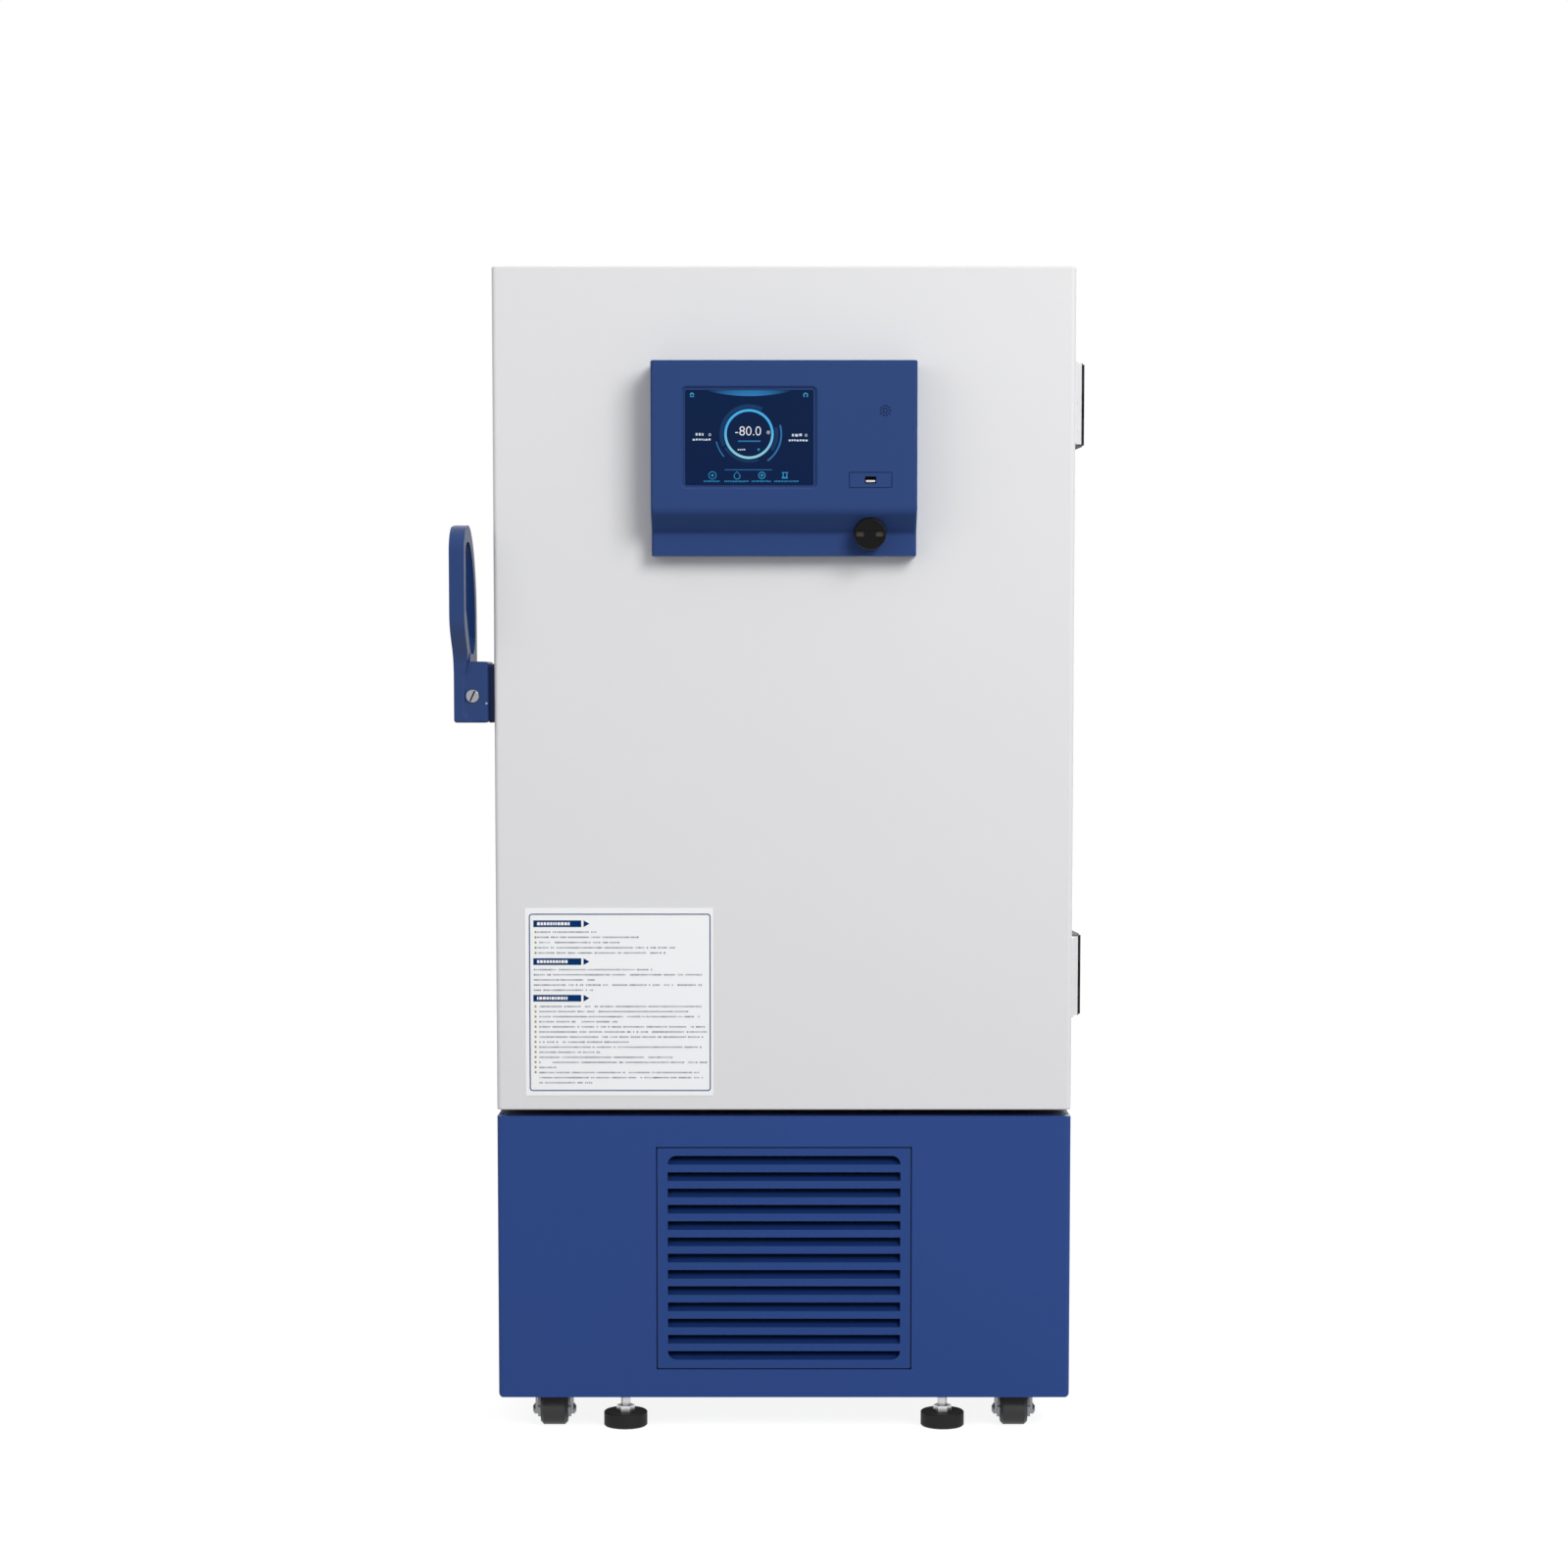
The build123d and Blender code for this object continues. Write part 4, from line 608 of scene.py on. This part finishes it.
FIGURE_HEIGHT = 98 * UNIT
FIGURE_SHARE = 0.70
curve = bpy.data.curves.new("display_reading", "FONT")
curve.body = "-80.0"
curve.align_x, curve.align_y = "CENTER", "CENTER"
curve.size = FIGURE_HEIGHT / FIGURE_SHARE
curve.offset = -0.014 * curve.size
mesh = settled(bpy.data.objects.new("reading_text", curve), "display_reading")
x, z = on_glass(667, 440)
mesh.transform(Matrix.Translation((x, GLASS_Y - 3 * LAYER, z)) @ Matrix.Rotation(math.pi / 2, 4, "X"))
mesh.materials.clear()
reading = piece("display_reading", mesh, "outer_door", lit(
    "display_white", paint(235, 240, 245), paint(250, 252, 255), RING[1] - 0.02, RING[1] + 0.02))
print("reading", round(reading.dimensions.x * 1000, 1), "mm wide, wanted", round(296 * UNIT * 1000, 1))

# %% [markdown]
# Captions are only hinted at, as rows of short bars.

# %% Captions
random.seed(4)


def caption(left, top, width, height):
    """Short bars of uneven width in a row, where a caption would be."""
    bars, across = [], left
    while across < left + width - height * 0.4:
        letter = height * random.uniform(0.35, 0.95)
        letter = min(letter, left + width - across)
        bars.append(glass_bar(across, top + height * random.uniform(0.1, 0.25), letter, height * 0.66))
        across += letter + height * 0.3
    return bars


captions = []
for left, top, width, height in ((112, 452, 104, 40), (80, 512, 204, 28), (1132, 458, 106, 40),
                                 (1098, 520, 202, 28), (558, 622, 90, 22)):
    captions += caption(left, top, width, height)
captions += glass_arc(on_glass(262, 474), 9, 14) + glass_arc(on_glass(1282, 480), 9, 14)
display("display_captions", captions,
        lit("display_pale", paint(196, 206, 220), paint(208, 215, 226), *SCREEN))

# %% [markdown]
# The icons are plain shapes: a dial, a drop, a nut and a sheet below, with a caption under each,
# and a bell and a cloud in the upper corners. A grey dot beside the reading stands for its unit.

# %% Icons
def icon_bar(centre, left, right, low, high):
    """A rectangle round a place on the glass, with its edges in units of the drawing."""
    x, z = centre
    return bar(x + left * UNIT, x + right * UNIT, z + low * UNIT, z + high * UNIT)


dial, drop, nut, sheet = (on_glass(across, 905) for across in (289, 550, 814, 1059))
bell, cloud = on_glass(74, 50), on_glass(1277, 55)
icons = glass_arc(dial, 35, 43, steps=32) + glass_arc(dial, 0.5, 14)
icons += glass_arc((drop[0], drop[1] - 8 * UNIT), 27, 36, 150, 390, 24)
icons += [[(drop[0] + side * across * UNIT, drop[1] + up * UNIT)
           for across, up in ((31, 8), (23, 8), (0, 36), (0, 46))] for side in (-1, 1)]
icons += glass_arc(nut, 30, 41, steps=8) + glass_arc(nut, 0.5, 15, steps=12)
icons += [icon_bar(sheet, -34, 34, 24, 34), icon_bar(sheet, -34, 30, -34, -16),
          icon_bar(sheet, -26, -14, -16, 24), icon_bar(sheet, 12, 24, -16, 24),
          icon_bar(bell, -22, 22, -24, -14)]
icons += glass_arc(bell, 8, 22, -20, 200, 18) + glass_arc(cloud, 14, 26, -60, 240, 20)
for across, width in ((195, 170), (415, 260), (705, 215), (945, 270)):
    icons += caption(across, 957, width, 22)
icons += [glass_bar(768, 620, 22, 22)]
display("display_icons", icons,
        lit("display_icons", paint(44, 132, 178), paint(60, 148, 196), *SCREEN))
display("display_dot", glass_arc(on_glass(882, 450), 0.5, 20, steps=20),
        lit("display_grey", paint(120, 122, 124), paint(165, 166, 168), RING[1] - 0.01, RING[1] + 0.01))

# %% [markdown]
# A printed card is stuck to the lower door. It is a sheet of white film six tenths of a
# millimetre thick, with a rounded frame line, three banners and ruled rows. The rows stand for
# print, so they are plain grey dashes.

# %% Finishes of the card
card_white = finish("card_white", paint(249, 250, 251), 0.38, 0.01, Grain=500.0, Drift=0.01)
ink_frame = finish("ink_frame", paint(66, 84, 126), 0.5, 0.004, specular=0.2)
ink_banner = finish("ink_banner", paint(2, 50, 104), 0.5, 0.004, specular=0.05, Drift=0.1)
ink_row = finish("ink_row", paint(122, 131, 146), 0.5, 0.004, specular=0.2)
ink_bullet = finish("ink_bullet", paint(152, 150, 58), 0.5, 0.004, specular=0.3)

# %% [markdown]
# The card's drawing was measured with 7.29 units to each picture point, from a corner at column
# 525 and row 915. The helper carries such a place to the door's face.

# %% The card and its frame line
DOOR_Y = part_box("door_outer_skin")[0].y
FILM = 0.0006
INK_Y = DOOR_Y - FILM - 2 * LAYER
CARD_CORNER = (525, 915)
CARD_UNITS = 7.293


def on_card(across, down):
    """A place of the card's drawing as x and z on the door."""
    return seen_at(CARD_CORNER[0] + across / CARD_UNITS, CARD_CORNER[1] + down / CARD_UNITS, DOOR_Y)


def card_bar(left, top, right, bottom):
    """A rectangle of the card's drawing as an outline."""
    (x, z), (x_end, z_end) = on_card(left, top), on_card(right, bottom)
    return bar(x, x_end, z_end, z)


def rounded_line(left, right, low, high, corner, line):
    """A closed line with rounded corners as outlines. Its width lies inside the given rectangle."""
    shapes = [bar(left + corner, right - corner, high - line, high),
              bar(left + corner, right - corner, low, low + line),
              bar(left, left + line, low + corner, high - corner),
              bar(right - line, right, low + corner, high - corner)]
    for x, z, start in ((right - corner, high - corner, 0), (left + corner, high - corner, 90),
                        (left + corner, low + corner, 180), (right - corner, low + corner, 270)):
        shapes += arc_strips((x, z), corner - line, corner, start, start + 90, 8)
    return shapes


flat_piece("info_card", [card_bar(76, 86, 1478, 1480)], INK_Y + LAYER, card_white, thickness=FILM)
(left, top), (right, bottom) = on_card(106, 126), on_card(1462, 1446)
FRAME_CORNER, FRAME_LINE = 0.0055, 0.0020
flat_piece("card_frame", rounded_line(left, right, bottom, top, FRAME_CORNER, FRAME_LINE), INK_Y, ink_frame)

# %% [markdown]
# The card's three headings are dark banners, each with a nib at its right end, and most of its
# lines start with small ochre squares. They are few, so plain outlines do.

# %% Banners and bullets
BANNER_TOPS = (176, 458, 730)
NIB_LEFT, NIB_TIP = 514, 558
MARKS_LEFT, MARKS_RIGHT, MARKS_GAP = 168, 400, 5
BULLET_HALF = 0.0016
banners, marks, bullets = [], [], []
for top in BANNER_TOPS:
    banners.append(card_bar(140, top, 497, top + 50))
    banners.append([on_card(NIB_LEFT, top), on_card(NIB_TIP, top + 25), on_card(NIB_LEFT, top + 50)])
    across = MARKS_LEFT
    while across < MARKS_RIGHT:
        letter = random.uniform(10, 22)
        marks.append(card_bar(across, top + 14, across + letter, top + 36))
        across += letter + MARKS_GAP
for first, pitch, count in ((263, 38.8, 5), (817, 37.6, 14)):
    for step in range(count):
        x, z = on_card(157, first + pitch * step)
        bullets.append(bar(x - BULLET_HALF, x + BULLET_HALF, z - 0.0018, z + 0.0018))
flat_piece("card_banners", banners, INK_Y, ink_banner)
flat_piece("card_banner_marks", marks, INK_Y - LAYER, card_white)
flat_piece("card_bullets", bullets, INK_Y, ink_bullet)

# %% [markdown]
# The rows repeat, so Geometry Nodes lay them out, and the same helpers later serve the buzzer's
# holes, the screws and the threads. Each tree starts from loose points, which may carry
# attributes, and ends by setting copies on points, making them real and giving them a material.

# %% Helpers for geometry trees
UPRIGHT = (math.pi / 2, 0, 0)


def geometry_tree(name, inputs):
    """An empty geometry tree with named inputs."""
    return new_group(name, "GeometryNodeTree", [("Geometry", GEOMETRY, None), *inputs],
                     [("Geometry", GEOMETRY)])


def attribute(tree, name, kind="FLOAT"):
    """What the points carry under a name."""
    return add(tree, "GeometryNodeInputNamedAttribute", data_type=kind, Name=name).outputs["Attribute"]


def deliver(tree, result, points, copy, material, **settings):
    """Sets a copy on each point, makes the copies real, gives them a material and hands them out."""
    copies = add(tree, "GeometryNodeInstanceOnPoints", Points=points, Instance=copy, **settings)
    solid = add(tree, "GeometryNodeRealizeInstances", copies.outputs[0])
    inked = add(tree, "GeometryNodeSetMaterial", Geometry=solid.outputs[0], Material=material)
    fill(tree, result, Geometry=inked.outputs[0])


def grow(name, tree, places, body, carried=None, **values):
    """Runs a tree on loose points with the given inputs and keeps the result as a plain piece."""
    seeds = bpy.data.meshes.new(name + "_seed")
    seeds.from_pydata(places, [], [])
    for label, entries in (carried or {}).items():
        kind, field = ("FLOAT_VECTOR", "vector") if isinstance(entries[0], tuple) else ("FLOAT", "value")
        layer = seeds.attributes.new(label, kind, "POINT")
        for point, entry in zip(layer.data, entries):
            setattr(point, field, entry)
    holder = bpy.data.objects.new(name + "_seed", seeds)
    modifier = holder.modifiers.new("grow", "NODES")
    modifier.node_group = tree
    for item in tree.interface.items_tree:
        if item.item_type == "SOCKET" and item.in_out == "INPUT" and item.name in values:
            modifier[item.identifier] = values[item.name]
    mesh = settled(holder, name)
    piece(name, mesh, body)
    print(name, len(mesh.vertices), "points", len(mesh.polygons), "faces")


# %% [markdown]
# The tree of rows is read from left to right: a line of points is laid at each row's start, the
# points past the row's end and a few by chance are deleted, and a dash of uneven width is put on
# each point that is left.

# %% The tree of ruled rows
rows_tree, given, result = geometry_tree("ruled_rows", [
    ("Dashes", WHOLE, 40), ("Width", FLOAT, 0.2), ("Stroke", FLOAT, 0.002), ("Seed", WHOLE, 3),
    ("Ink", MATERIAL, None)])
tree = rows_tree
pitch = maths(tree, "DIVIDE", given["Width"], given["Dashes"])
line = add(tree, "GeometryNodeMeshLine", Count=given["Dashes"],
           Offset=add(tree, "ShaderNodeCombineXYZ", pitch).outputs[0])
rows = add(tree, "GeometryNodeInstanceOnPoints", Points=given["Geometry"], Instance=line.outputs[0])
stored = add(tree, "GeometryNodeStoreNamedAttribute", data_type="FLOAT", domain="INSTANCE",
             Geometry=rows.outputs[0], Name="row_end", Value=attribute(tree, "row_length"))
real = add(tree, "GeometryNodeRealizeInstances", stored.outputs[0])
where = add(tree, "ShaderNodeSeparateXYZ", add(tree, "GeometryNodeInputPosition").outputs[0])
beyond = add(tree, "FunctionNodeCompare", data_type="FLOAT", operation="GREATER_THAN", A=where.outputs["X"],
             B=attribute(tree, "row_end"))
gap = add(tree, "FunctionNodeRandomValue", data_type="BOOLEAN", Probability=0.12, Seed=given["Seed"])
lost = add(tree, "FunctionNodeBooleanMath", beyond.outputs["Result"], gap.outputs[3], operation="OR")
kept = add(tree, "GeometryNodeDeleteGeometry", Geometry=real.outputs[0], Selection=lost.outputs[0])
dash = add(tree, "GeometryNodeMeshGrid", Vertices_X=2, Vertices_Y=2, Size_Y=given["Stroke"],
           Size_X=maths(tree, "MULTIPLY", pitch, 0.86))
upright = add(tree, "GeometryNodeTransform", Geometry=dash.outputs["Mesh"], Rotation=UPRIGHT)
size = add(tree, "FunctionNodeRandomValue", data_type="FLOAT_VECTOR", Min=(0.45, 1, 0.65), Max=(1.0, 1, 1.0),
           Seed=given["Seed"])
deliver(tree, result, kept.outputs[0], upright.outputs[0], given["Ink"], Scale=size.outputs["Value"])

# %% [markdown]
# Each row's start and end were measured on the card. The starts become the loose points, and the
# end goes along as the attribute that the tree reads.

# %% Rows on the card
ROWS = ([(176, 263 + 38.8 * step, end) for step, end in enumerate((610, 928, 776, 1198, 1120))]
        + [(150, 543 + 38 * step, end) for step, end in enumerate((1056, 1410, 592, 1416, 580))]
        + [(190, 817 + 37.8 * step, end) for step, end in enumerate(
            (1394, 1292, 1380, 780, 1424, 1428, 1404, 850, 1390, 640, 1172, 1430, 318, 1380, 1408, 586))])
starts = [on_card(across, down) for across, down, end in ROWS]
ends = [on_card(end, down)[0] for across, down, end in ROWS]
grow("card_rows", rows_tree, [(x, INK_Y, z) for x, z in starts], "outer_door", {"row_length": ends},
     Dashes=88, Width=0.283, Stroke=0.0031, Seed=3, Ink=ink_row)

# %% [markdown]
# The service socket is a black opening with a white tongue in its lower half. The tongue is a
# small moulded bar with four contacts, so it is made of three-dimensional bars, set just round
# the tongue of the model. A dark line of painted shade, for the shade in the groove, runs round the socket's
# plate.

# %% The socket
def block_piece(name, blocks, material):
    """A piece on the door made of closed blocks. Each is its low and its high corner."""
    mesh = bpy.data.meshes.new(name)
    build = bmesh.new()
    for low, high in blocks:
        made = bmesh.ops.create_cube(build, size=1.0)["verts"]
        centre, extent = (Vector(low) + Vector(high)) / 2, Vector(high) - Vector(low)
        for corner in made:
            corner.co = centre + Vector(a * b for a, b in zip(corner.co, extent))
        edges = list({edge for corner in made for edge in corner.link_edges})
        bmesh.ops.bevel(build, geom=edges, offset=min(extent) * 0.2, segments=2, affect="EDGES")
    bmesh.ops.recalc_face_normals(build, faces=list(build.faces))
    build.to_mesh(mesh)
    build.free()
    piece(name, mesh, "outer_door", material)


socket_low, socket_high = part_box("usb_port")
middle = (socket_low + socket_high) / 2
# One dark finish of painted shade serves the line round the socket, the gap round the grille and the buzzer's
# holes.
painted_shade = finish("painted_shade", paint(10, 18, 42), 0.7, 0.01, specular=0.1)
block_piece("socket_tongue", [((middle.x - 0.0078, socket_low.y + 0.0009, middle.z - 0.0034),
                               (middle.x + 0.0078, socket_low.y + 0.0105, middle.z + 0.0002))],
            finish("tongue_white", paint(245, 245, 245), 0.35, 0.01))
CONTACTS = [middle.x - 0.0060 + 0.0034 * count for count in range(4)]
block_piece("socket_contacts", [((x, socket_low.y + 0.0014, middle.z + 0.0001),
                                 (x + 0.0018, socket_low.y + 0.0085, middle.z + 0.0005)) for x in CONTACTS],
            copper)
CONSOLE_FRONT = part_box("control_housing")[0].y
SHADE_LINE_MARGIN = 0.0004
# The line round the socket's plate is painted shade.
flat_piece("socket_painted_shade", rounded_line(socket_low.x - SHADE_LINE_MARGIN, socket_high.x + SHADE_LINE_MARGIN, socket_low.z - SHADE_LINE_MARGIN,
                                       socket_high.z + SHADE_LINE_MARGIN, 0.0028, 0.0014), CONSOLE_FRONT + 0.00015, painted_shade)

# %% [markdown]
# The grille sits in its cut-out with a gap all round, and that gap shows as a dark line. Light
# from the studio reaches only a little way into it, so its floor gets a ring of painted shade, just
# behind the sheet's face. The grille's box includes its pins, so its plate's width is given here.

# %% Painted shade in the gap round the grille
GAP = 0.0022
PLATE_WIDTH = 0.4275
half_width = PLATE_WIDTH / 2 + GAP
centre_x = (grille_low.x + grille_high.x) / 2
ring = rounded_line(centre_x - half_width, centre_x + half_width, grille_low.z - GAP, grille_high.z + GAP,
                    0.0052, GAP)
# The ring in the gap is painted shade.
flat_piece("grille_gap_painted_shade", ring, grille_low.y + 0.0004, painted_shade, "cabinet")

# %% [markdown]
# The buzzer sounds through two rings of fine holes. Their floors lie in the dark, and light that
# gets in through such a hole hardly ever comes out again. Geometry Nodes lay a disc of painted
# shade over each, a tenth of a millimetre behind the console's face.

# %% Painted shade in the buzzer's holes
disc_tree, given, result = geometry_tree("hole_discs", [("Radius", FLOAT, 0.0014), ("Ink", MATERIAL, None)])
disc = add(disc_tree, "GeometryNodeMeshCircle", fill_type="NGON", Vertices=18, Radius=given["Radius"])
upright = add(disc_tree, "GeometryNodeTransform", Geometry=disc.outputs[0], Rotation=UPRIGHT)
deliver(disc_tree, result, given["Geometry"], upright.outputs[0], given["Ink"])
BUZZER = (middle.x + 0.0238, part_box("top_panel")[1].z - 0.2422)
HOLE_RINGS = ((0.0080, 10), (0.0036, 5))
hole_places = [(BUZZER[0] + ring * math.cos(2 * math.pi * count / holes), CONSOLE_FRONT + LAYER,
                BUZZER[1] + ring * math.sin(2 * math.pi * count / holes))
               for ring, holes in HOLE_RINGS for count in range(holes)]
# Each dark disc is painted shade.
grow("buzzer_painted_shade_discs", disc_tree, hole_places, "outer_door", Radius=0.00145, Ink=painted_shade)

# %% [markdown]
# Screws hold the rear sheets, the sides of the base, the hinges and the electrical box. One head
# is built inside the tree: a flat cone with a cross cut out of it. Each point carries the way its
# screw faces, and the tree turns a copy of the head to that way and spins it by chance, since no
# two real screws stop alike.

# %% The tree of screws
screw_tree, given, result = geometry_tree("cross_screws", [
    ("Radius", FLOAT, 0.004), ("Rise", FLOAT, 0.002), ("Seed", WHOLE, 5), ("Metal", MATERIAL, None)])
tree = screw_tree
head = add(tree, "GeometryNodeMeshCone", Vertices=20, Fill_Segments=1, Radius_Bottom=given["Radius"],
           Radius_Top=maths(tree, "MULTIPLY", given["Radius"], 0.72), Depth=given["Rise"])
slot_size = scaled(tree, (1.15, 0.24, 1.2), given["Radius"])
lift = add(tree, "ShaderNodeCombineXYZ", Z=given["Rise"])
cut = add(tree, "GeometryNodeMeshBoolean", operation="DIFFERENCE", Mesh_1=head.outputs["Mesh"])
for turn in (0, math.pi / 2):
    slot = add(tree, "GeometryNodeMeshCube", Size=slot_size)
    placed = add(tree, "GeometryNodeTransform", Geometry=slot.outputs["Mesh"], Translation=lift.outputs[0],
                 Rotation=(0, 0, turn))
    fill(tree, cut, Mesh_2=placed.outputs[0])
aim = add(tree, "FunctionNodeAlignRotationToVector", axis="Z",
          Vector=attribute(tree, "facing", "FLOAT_VECTOR"))
chance = add(tree, "FunctionNodeRandomValue", data_type="FLOAT_VECTOR", Min=(0, 0, 0), Max=(0, 0, math.pi),
             Seed=given["Seed"])
spin = add(tree, "FunctionNodeRotateRotation", rotation_space="LOCAL", Rotation=aim.outputs[0],
           Rotate_By=chance.outputs["Value"])
deliver(tree, result, given["Geometry"], cut.outputs["Mesh"], given["Metal"], Rotation=spin.outputs[0])

# %% [markdown]
# The places of the screws follow from the boxes of the solids that they hold. Only the one below
# the key lock was found in the picture.

# %% Screws on the sheets and hinges
REAR, RIGHT, LEFT, FRONT = (0, 1, 0), (1, 0, 0), (-1, 0, 0), (0, -1, 0)
LEAF_SIDE = (0.9965, 0.083, 0)
EDGE, BASE_EDGE, LEAF_EDGE, BODY_EDGE, BOX_EDGE = 0.016, 0.025, 0.022, 0.026, 0.012
BODY_SCREWS = ((0.0218, 0.061), (0.0192, 0.092))


def screws(name, places, facing, body, radius=0.004, rise=0.0018):
    """Screw heads at places that all face one way."""
    grow(name, screw_tree, places, body, {"facing": [facing] * len(places)}, Radius=radius, Rise=rise,
         Seed=len(places), Metal=bright_steel)


def spread(start, stop, count):
    """Evenly spaced numbers."""
    return [start + (stop - start) * step / (count - 1) for step in range(count)]


for name, rows in (("back_panel", 6), ("base_rear_grille", 3)):
    low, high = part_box(name)
    columns = [(x, high.y, z) for x in (low.x + EDGE, high.x - EDGE)
               for z in spread(low.z + EDGE, high.z - EDGE, rows)]
    across = [(x, high.y, z) for x in spread(low.x + 0.2, high.x - 0.2, 3)
              for z in (low.z + EDGE, high.z - EDGE)]
    screws(name + "_screws", columns + across, REAR, "cabinet")
for name, facing, face in (("base_side_panel_left", LEFT, 0), ("base_side_panel_right", RIGHT, 1)):
    low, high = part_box(name)
    places = [((low, high)[face].x, y, z) for y in spread(low.y + 0.05, high.y - 0.05, 3)
              for z in (low.z + BASE_EDGE, high.z - BASE_EDGE)]
    screws(name + "_screws", places, facing, "cabinet")
for end in ("upper", "lower"):
    low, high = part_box("hinge_door_leaf_" + end)
    places = [(low.x + 0.0065, low.y + 0.017, z) for z in spread(low.z + LEAF_EDGE, high.z - LEAF_EDGE, 3)]
    screws("hinge_screws_" + end, places, RIGHT, "outer_door", radius=0.0055, rise=0.0016)
    low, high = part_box("hinge_cabinet_leaf_" + end)
    places = [(low.x + reach, low.y + deep, z) for reach, deep in BODY_SCREWS
              for z in (low.z + BODY_EDGE, high.z - BODY_EDGE)]
    screws("hinge_body_screws_" + end, places, LEAF_SIDE, "cabinet", radius=0.0056, rise=0.0011)
HUB_Y = LOCK_FRONT + 0.003
x, z = seen_at(496.3, 717.8, HUB_Y)
screws("hub_screw", [(x, HUB_Y, z)], FRONT, "lever", radius=0.002, rise=0.001)
low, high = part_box("electrical_box")
places = [(x, low.y, z) for x in (low.x + BOX_EDGE, high.x - BOX_EDGE)
          for z in (low.z + BOX_EDGE, high.z - BOX_EDGE)]
screws("box_screws", places, FRONT, "cabinet", radius=0.003)

# %% [markdown]
# A levelling foot stands on a screwed stem. Its thread is a triangle swept along a spiral, and it
# starts just above the lock nut. Each foot is a body of its own, so the tree runs twice.

# %% The tree of a thread
thread_tree, given, result = geometry_tree("stem_thread", [
    ("Radius", FLOAT, 0.008), ("Pitch", FLOAT, 0.002), ("Length", FLOAT, 0.07), ("Metal", MATERIAL, None)])
tree = thread_tree
spiral = add(tree, "GeometryNodeCurveSpiral", Resolution=20, Start_Radius=given["Radius"],
             Rotations=maths(tree, "DIVIDE", given["Length"], given["Pitch"]), End_Radius=given["Radius"],
             Height=given["Length"])
profile = add(tree, "GeometryNodeCurvePrimitiveCircle", Resolution=3,
              Radius=maths(tree, "MULTIPLY", given["Pitch"], 0.45))
swept = add(tree, "GeometryNodeCurveToMesh", Curve=spiral.outputs[0], Profile_Curve=profile.outputs[0])
deliver(tree, result, given["Geometry"], swept.outputs[0], given["Metal"])

# %% [markdown]
# The stem's middle is the middle of the foot's box. The thread stays inside the pan's hole over
# most of its length, and only its lowest centimetre is seen from outside.

# %% Threads of the feet
for side in ("left", "right"):
    low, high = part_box("foot_" + side)
    centre = (low + high) / 2
    grow("stem_thread_" + side, thread_tree, [(centre.x, centre.y, PAD_TOP + 0.0105)], side + "_foot",
         Radius=0.0078, Pitch=0.0018, Length=high.z - PAD_TOP - 0.013, Metal=bright_steel)

# %% [markdown]
# Each caster's axle ends in a bright slotted head on both sides of the fork. The same screw tree
# makes them, and each pair rides on its own swivel.

# %% Heads of the axles
for corner in CORNERS:
    low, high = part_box("caster_wheel_" + corner)
    fork_low, fork_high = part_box("caster_fork_" + corner)
    axle = ((low.y + high.y) / 2, (low.z + high.z) / 2)
    for x, facing, end in ((fork_low.x + 0.0014, LEFT, "_outer"), (fork_high.x - 0.0014, RIGHT, "_inner")):
        screws("axle_head_" + corner + end, [(x, *axle)], facing, "swivel_" + corner, 0.0038, 0.0014)
